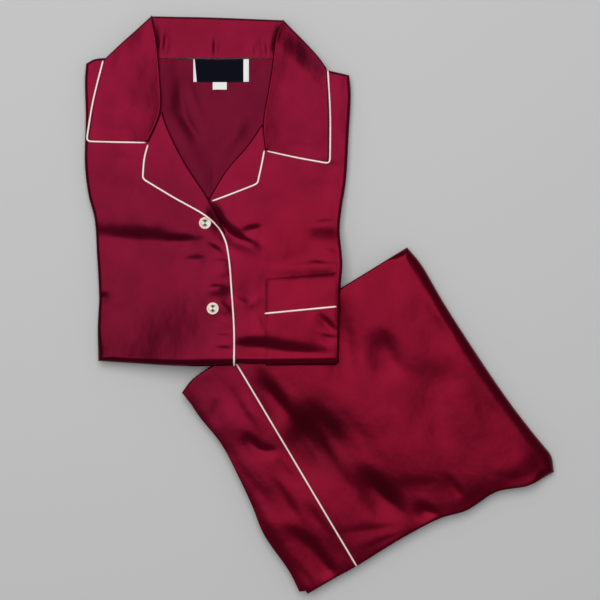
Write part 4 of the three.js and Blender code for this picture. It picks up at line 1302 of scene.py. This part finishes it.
def over_button(run, rise=0.9, reach=10.0):
    """The cord lifted a little where it passes the rim of the top button."""
    x, y = BUTTONS["button_top"]
    off = np.hypot(run[:, 0] - x, run[:, 1] - y)
    return run + np.stack([0 * off, 0 * off, rise * np.exp(-((off / reach) ** 4))], axis=1)


def round_fold(edge, way):
    """Points that follow a folded side's end round its roll."""
    rings = np.array([ring[-1] for ring in edge["rings"][1:]])
    rings[:, :2] += way * SEAM
    return rings


LAPEL_FOOT = 76
front_points = beside(over_edges["east"])
front_points = front_points[front_points[:, 1] < LAPEL_FOOT][::-1]
fold_points = round_fold(over_edges["south"], over_edges["east"]["way"][1])
notch_points = beside(over_lapel_edges["west"])[::-1][1:-1]
lapel_points = beside(over_lapel_edges["south"])[:-2]
short_notch = beside(under_lapel_edges["east"])[::-1][1:-1]
short_edge = beside(under_lapel_edges["south"])[::-1][:-1]
RUNS = {
    "front_piping": over_button(np.vstack([notch_points, lapel_points, front_points, fold_points])),
    "lapel_piping": np.vstack([short_notch, short_edge]),
}
for name, shape in (("collar_piping_right", LEAF_LEFT), ("collar_piping_left", LEAF_RIGHT)):
    flat = soften(np.vstack([line(shape["end"])[::-1], line(shape["side"])[1:]])[1:], 4)
    level = leaf_bed(flat[:, 0], flat[:, 1], shape is LEAF_RIGHT) + GAP + PIPING + 0.1
    RUNS[name] = np.column_stack([flat, level])
flat = line(POCKET["seam"])
RUNS["pocket_piping"] = np.column_stack([flat, front_top(flat[:, 0], flat[:, 1]) + GAP + PIPING])
upper = np.array([ring[-1] for ring in cuff_edges["north"]["rings"][1:6]])[::-1]
lower = np.array([ring[-1] for ring in cuff_edges["south"]["rings"][1:6]])
seam = np.vstack([upper, cuff_edges["east"]["rings"][0][::-1], lower])
RUNS["cuff_piping"] = seam + np.array([SEAM, 0, 0.9 - PIPING])
for name, run in RUNS.items():
    points, faces = tube(run).welded()
    pieces[name] = placed(name, points, faces, PIPING_CLOTH, TURN if name == "cuff_piping" else 0.0)
print("piping runs:", {n: len(r) for n, r in RUNS.items()})

# %% [markdown]
# ## Buttons
# Round shell buttons with a turned rim and two holes, one above the other. They are turned shapes, so
# a profile is swept round, and the holes are cut with a Boolean.


# %% Turned buttons with two holes, the profile as [radius, height]
PROFILE = [[0, 0], [6.4, 0], [7.1, 0.45], [7.3, 1.0], [7.25, 1.6], [6.9, 2.1], [6.4, 2.3],
           [5.6, 2.26], [5.0, 2.0], [4.5, 1.76], [3.0, 1.66], [0, 1.66]]


def bore(middle, put, low=-1, high=4):
    """An upright bar, middle away from the button's centre, that cuts one hole."""
    n, radius = HOLES["around"], HOLES["radius"]
    around = np.linspace(0, math.tau, n, endpoint=False)
    points = np.array([[radius * math.cos(a), radius * math.sin(a) + middle, z]
                       for z in (low, high) for a in around])
    ring = [[i, (i + 1) % n, (i + 1) % n + n, i + n] for i in range(n)]
    ends = [list(range(n))[::-1], list(range(n, 2 * n))]
    data = bpy.data.meshes.new("bore")
    data.from_pydata((put(points) * MM).tolist(), [], ring + ends)
    return add_object("bore", data)


def button(name, at):
    turn = np.linspace(0, math.tau, 65) % math.tau
    rows = [[[r * math.cos(a), r * math.sin(a), z] for a in turn] for r, z in PROFILE]
    disc = Cloth()
    disc.grid(rows)
    points, faces = disc.welded()
    x, y = at
    reach = BUTTON["radius"]
    slope_x = (over_top(x + reach, y) - over_top(x - reach, y)) / (2 * reach)
    slope_y = (over_top(x, y + reach) - over_top(x, y - reach)) / (2 * reach)
    base = float(over_top(np.array(x), np.array(y))) + GAP + BUTTON["clear"]

    def put(local):
        tilted = local.copy()
        tilted[:, 2] += local[:, 0] * slope_x + local[:, 1] * slope_y
        return tilted + np.array([x, y, base])

    piece = build(name + "_shell", put(points), faces, SHELL)
    for side in (-1, 1):
        cutter = bore(side * HOLES["apart"] / 2, put)
        cut = piece.modifiers.new("hole", "BOOLEAN")
        cut.operation, cut.object, cut.solver = "DIFFERENCE", cutter, "MANIFOLD"
        whole = evaluated(piece)
        piece.modifiers.clear()
        piece.data = whole
        bpy.data.objects.remove(cutter)
    where = np.array([v.co[:2] for v in piece.data.vertices]) / MM - np.array(at)
    return finished(piece, name, where / reach)


for name, at in BUTTONS.items():
    pieces[name] = button(name, at)
print("buttons:", [len(pieces[n].data.polygons) for n in BUTTONS])

# %% [markdown]
# ## Woven tapes in the neck
# A navy label with white ends is sewn flat on the inside of the back, and a small white tab hangs from
# under its lower edge. Both are left plain.


# %% Label and tab
TAPE_CLOTH, TAPE_STEP = 0.5, 1.5


def tape_top(size):
    """The height of a tape on the inside of the back."""
    return lambda x, y: back_top(x, y) + size["thick"] + 2 * GAP


def tape(name, size, material, bow=0.0):
    """A flat tape; bow is how far its lower edge hangs down in the middle."""
    (x0, x1), (y0, y1) = size["x"], size["y"]
    middle = (x0 + x1) / 2
    low = [[x0, y0], [middle, y0 - bow], [x1, y0]]
    high = [[x0, y1], [middle, y1 - 1.5 * bow], [x1, y1]]
    made = sheet(strip(low, high, TAPE_STEP), tape_top(size))[0]
    return cloth_piece(name, made, material, thickness=TAPE_CLOTH)


pieces["neck_label"] = tape("neck_label", LABEL, NAVY, bow=0.5)
pieces["size_tab"] = tape("size_tab", SIZE_TAB, TAB)
print("tapes:", len(pieces["neck_label"].data.polygons), len(pieces["size_tab"].data.polygons))

# %% [markdown]
# ## Stitches
# Every seam is held by small even stitches. One node tree lays them: it takes lines, spaces points
# along them and puts a thread bead on each, turned along the line and slightly uneven.


# %% The tree that lays stitches
def stitch_tree():
    tree = bpy.data.node_groups.new("stitches along lines", "GeometryNodeTree")
    face = tree.interface
    face.new_socket("Lines", in_out="INPUT", socket_type="NodeSocketGeometry")
    for name, value in (("Pitch", 0.0026), ("Length", 0.0018), ("Width", 0.0004), ("Uneven", 0.12)):
        face.new_socket(name, in_out="INPUT", socket_type="NodeSocketFloat").default_value = value
    face.new_socket("Seed", in_out="INPUT", socket_type="NodeSocketInt").default_value = 4
    face.new_socket("Thread", in_out="INPUT", socket_type="NodeSocketMaterial")
    face.new_socket("Stitches", in_out="OUTPUT", socket_type="NodeSocketGeometry")

    def node(kind, values=None, **settings):
        made = tree.nodes.new(kind)
        for key, setting in settings.items():
            setattr(made, key, setting)
        for key, value in (values or {}).items():
            if isinstance(value, bpy.types.NodeSocket):
                tree.links.new(value, made.inputs[key])
            else:
                made.inputs[key].default_value = value
        return made

    given = node("NodeGroupInput").outputs
    curve = node("GeometryNodeMeshToCurve", {"Mesh": given["Lines"]})
    spaced = node("GeometryNodeCurveToPoints", {
        "Curve": curve.outputs[0], "Length": given["Pitch"]}, mode="LENGTH")
    bead = node("GeometryNodeMeshIcoSphere", {"Radius": 0.5, "Subdivisions": 1})
    size = node("ShaderNodeCombineXYZ", {
        "X": given["Length"], "Y": given["Width"], "Z": given["Width"]})
    along = node("FunctionNodeAlignRotationToVector", {"Vector": spaced.outputs["Tangent"]}, axis="X")
    least = node("ShaderNodeMath", {0: 1.0, 1: given["Uneven"]}, operation="SUBTRACT")
    most = node("ShaderNodeMath", {0: 1.0, 1: given["Uneven"]}, operation="ADD")
    chance = node("FunctionNodeRandomValue", {
        "Min": least.outputs[0], "Max": most.outputs[0], "Seed": given["Seed"]})
    scale = node("ShaderNodeVectorMath", {
        0: size.outputs[0], "Scale": chance.outputs["Value"]}, operation="SCALE")
    laid = node("GeometryNodeInstanceOnPoints", {
        "Points": spaced.outputs["Points"], "Instance": bead.outputs["Mesh"],
        "Rotation": along.outputs[0], "Scale": scale.outputs[0]})
    real = node("GeometryNodeRealizeInstances", {"Geometry": laid.outputs[0]})
    dyed = node("GeometryNodeSetMaterial", {"Geometry": real.outputs[0], "Material": given["Thread"]})
    node("NodeGroupOutput", {"Stitches": dyed.outputs[0]})
    return tree


STITCHES = stitch_tree()


def lay_stitches(name, lines, settings, turn=0.0):
    """One object of stitches along lines of 3-D points, baked to a plain mesh."""
    points, edges = [], []
    for run in lines:
        start = len(points)
        points += turned(run * MM, turn).tolist()
        edges += [(k, k + 1) for k in range(start, len(points) - 1)]
    data = bpy.data.meshes.new(name)
    data.from_pydata(points, edges, [])
    maker = add_object(name + "_lines", data)
    layer = maker.modifiers.new("stitches", "NODES")
    layer.node_group = STITCHES
    sockets = {i.name: i.identifier for i in STITCHES.interface.items_tree if i.in_out == "INPUT"}
    for key, value in settings.items():
        layer[sockets[key]] = value
    baked = evaluated(maker)
    bpy.data.objects.remove(maker)
    piece = add_object(name, baked)
    baked.polygons.foreach_set("use_smooth", [True] * len(baked.polygons))
    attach(piece, "root")
    return piece


# %% Lines of stitches
PROUD = 0.1


def stitched(edge, depth):
    """A line inside a sheet's cut edge, at its height."""
    run = edge["rings"][0].copy()
    run[:, :2] -= edge["way"] * depth
    run[:, 2] += PROUD
    return run[2:-2]


def on_label(points):
    flat = line(points)
    return np.column_stack([flat, tape_top(LABEL)(flat[:, 0], flat[:, 1]) + PROUD])


SHIRT_SEAMS = [
    (pocket_edges, "west", 1.6), (pocket_edges, "east", 1.6),
    (pocket_band_edges, "west", 1.6), (pocket_band_edges, "east", 1.6),
    (pocket_edges, "north", 0.9),
    (over_lapel_edges, "south", 1.0), (over_lapel_edges, "west", 1.0),
    (under_lapel_edges, "south", 1.0), (under_lapel_edges, "east", 1.0),
]
SHIRT_LINES = [stitched(edges[side], depth) for edges, side, depth in SHIRT_SEAMS]
(x0, x1), (y0, y1) = LABEL["x"], LABEL["y"]
LABEL_LINES = [
    on_label([[x0 + 1, y0 + 0.9], [(x0 + x1) / 2, y0 + 0.4], [x1 - 1, y0 + 0.9]]),
    on_label([[x0 + 1, y1 - 1.0], [(x0 + x1) / 2, y1 - 1.8], [x1 - 1, y1 - 1.0]]),
    on_label([[x0 + 0.9, y0 + 1], [x0 + 0.9, y1 - 1]]),
    on_label([[x1 - 0.9, y0 + 1], [x1 - 0.9, y1 - 1]]),
]
CUFF_LINES = [stitched(cuff_edges["east"], 1.0), stitched(leg_edges["west"], 1.0)]
fine_thread = {"Thread": THREAD, "Pitch": 0.0026, "Length": 0.0017, "Width": 0.00035}
label_thread = {"Thread": THREAD, "Pitch": 0.0022, "Length": 0.0013, "Width": 0.0003}
shirt_stitches = lay_stitches("shirt_stitches", SHIRT_LINES, fine_thread)
label_stitches = lay_stitches("label_stitches", LABEL_LINES, label_thread)
cuff_stitches = lay_stitches("cuff_stitches", CUFF_LINES, fine_thread, TURN)
print("stitches:", [len(o.data.polygons) for o in (shirt_stitches, label_stitches, cuff_stitches)])

# %% [markdown]
# ## What each cloth is, and the end
# A table lists the flat size of each cloth's visible part and what it rests on, and the area of one face
# of each is printed beside its flat area. The last lines print how many triangles the set has.

# %% Cloths and their flat sizes
SHEET = ("width", "length", "area", "held", "rests_on")
SHEETS = {
    "front_right": (0.178, 0.380, 0.0540, "folded", ["shirt_layers_cloth", "front_left_cloth"]),
    "front_left": (0.178, 0.380, 0.0550, "folded", ["shirt_layers_cloth"]),
    "shirt_layers": (0.305, 0.365, 0.1110, "folded", ["floor", "leg_panel_cloth"]),
    "shirt_back": (0.146, 0.184, 0.0207, "laid", ["shirt_layers_cloth"]),
    "collar": (0.300, 0.150, 0.0292, "folded", ["front_right_cloth", "front_left_cloth"]),
    "lapel_right": (0.100, 0.145, 0.0048, "folded", ["front_right_cloth"]),
    "lapel_left": (0.065, 0.093, 0.0025, "folded", ["front_left_cloth"]),
    "pocket": (0.086, 0.088, 0.0075, "folded", ["front_left_cloth"]),
    "pocket_band": (0.086, 0.042, 0.0036, "laid", ["front_left_cloth"]),
    "leg_panel": (0.278, 0.312, 0.0845, "folded", ["trouser_layers_cloth"]),
    "cuff_top": (0.072, 0.296, 0.0208, "folded", ["trouser_layers_cloth"]),
    "cuff_under": (0.013, 0.278, 0.0029, "laid", ["trouser_layers_cloth"]),
    "trouser_layers": (0.345, 0.325, 0.1100, "folded", ["floor"]),
    "neck_label": (0.067, 0.028, 0.0018, "laid", ["shirt_back_cloth"]),
    "size_tab": (0.017, 0.010, 0.00015, "laid", ["shirt_back_cloth"]),
}


def half_surface(piece):
    """The area of one face of a thin closed piece, in square metres."""
    return sum(p.area for p in piece.data.polygons) / 2


for name, row in SHEETS.items():
    cut = dict(zip(SHEET, row))
    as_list(cut["rests_on"])
    print(name, "one face", round(half_surface(pieces[name]), 4), "flat", cut["area"])

# %% The count of triangles, and the end
count = sum(len(p.vertices) - 2 for o in bpy.data.objects if o.type == "MESH" for p in o.data.polygons)
print("triangles:", count)
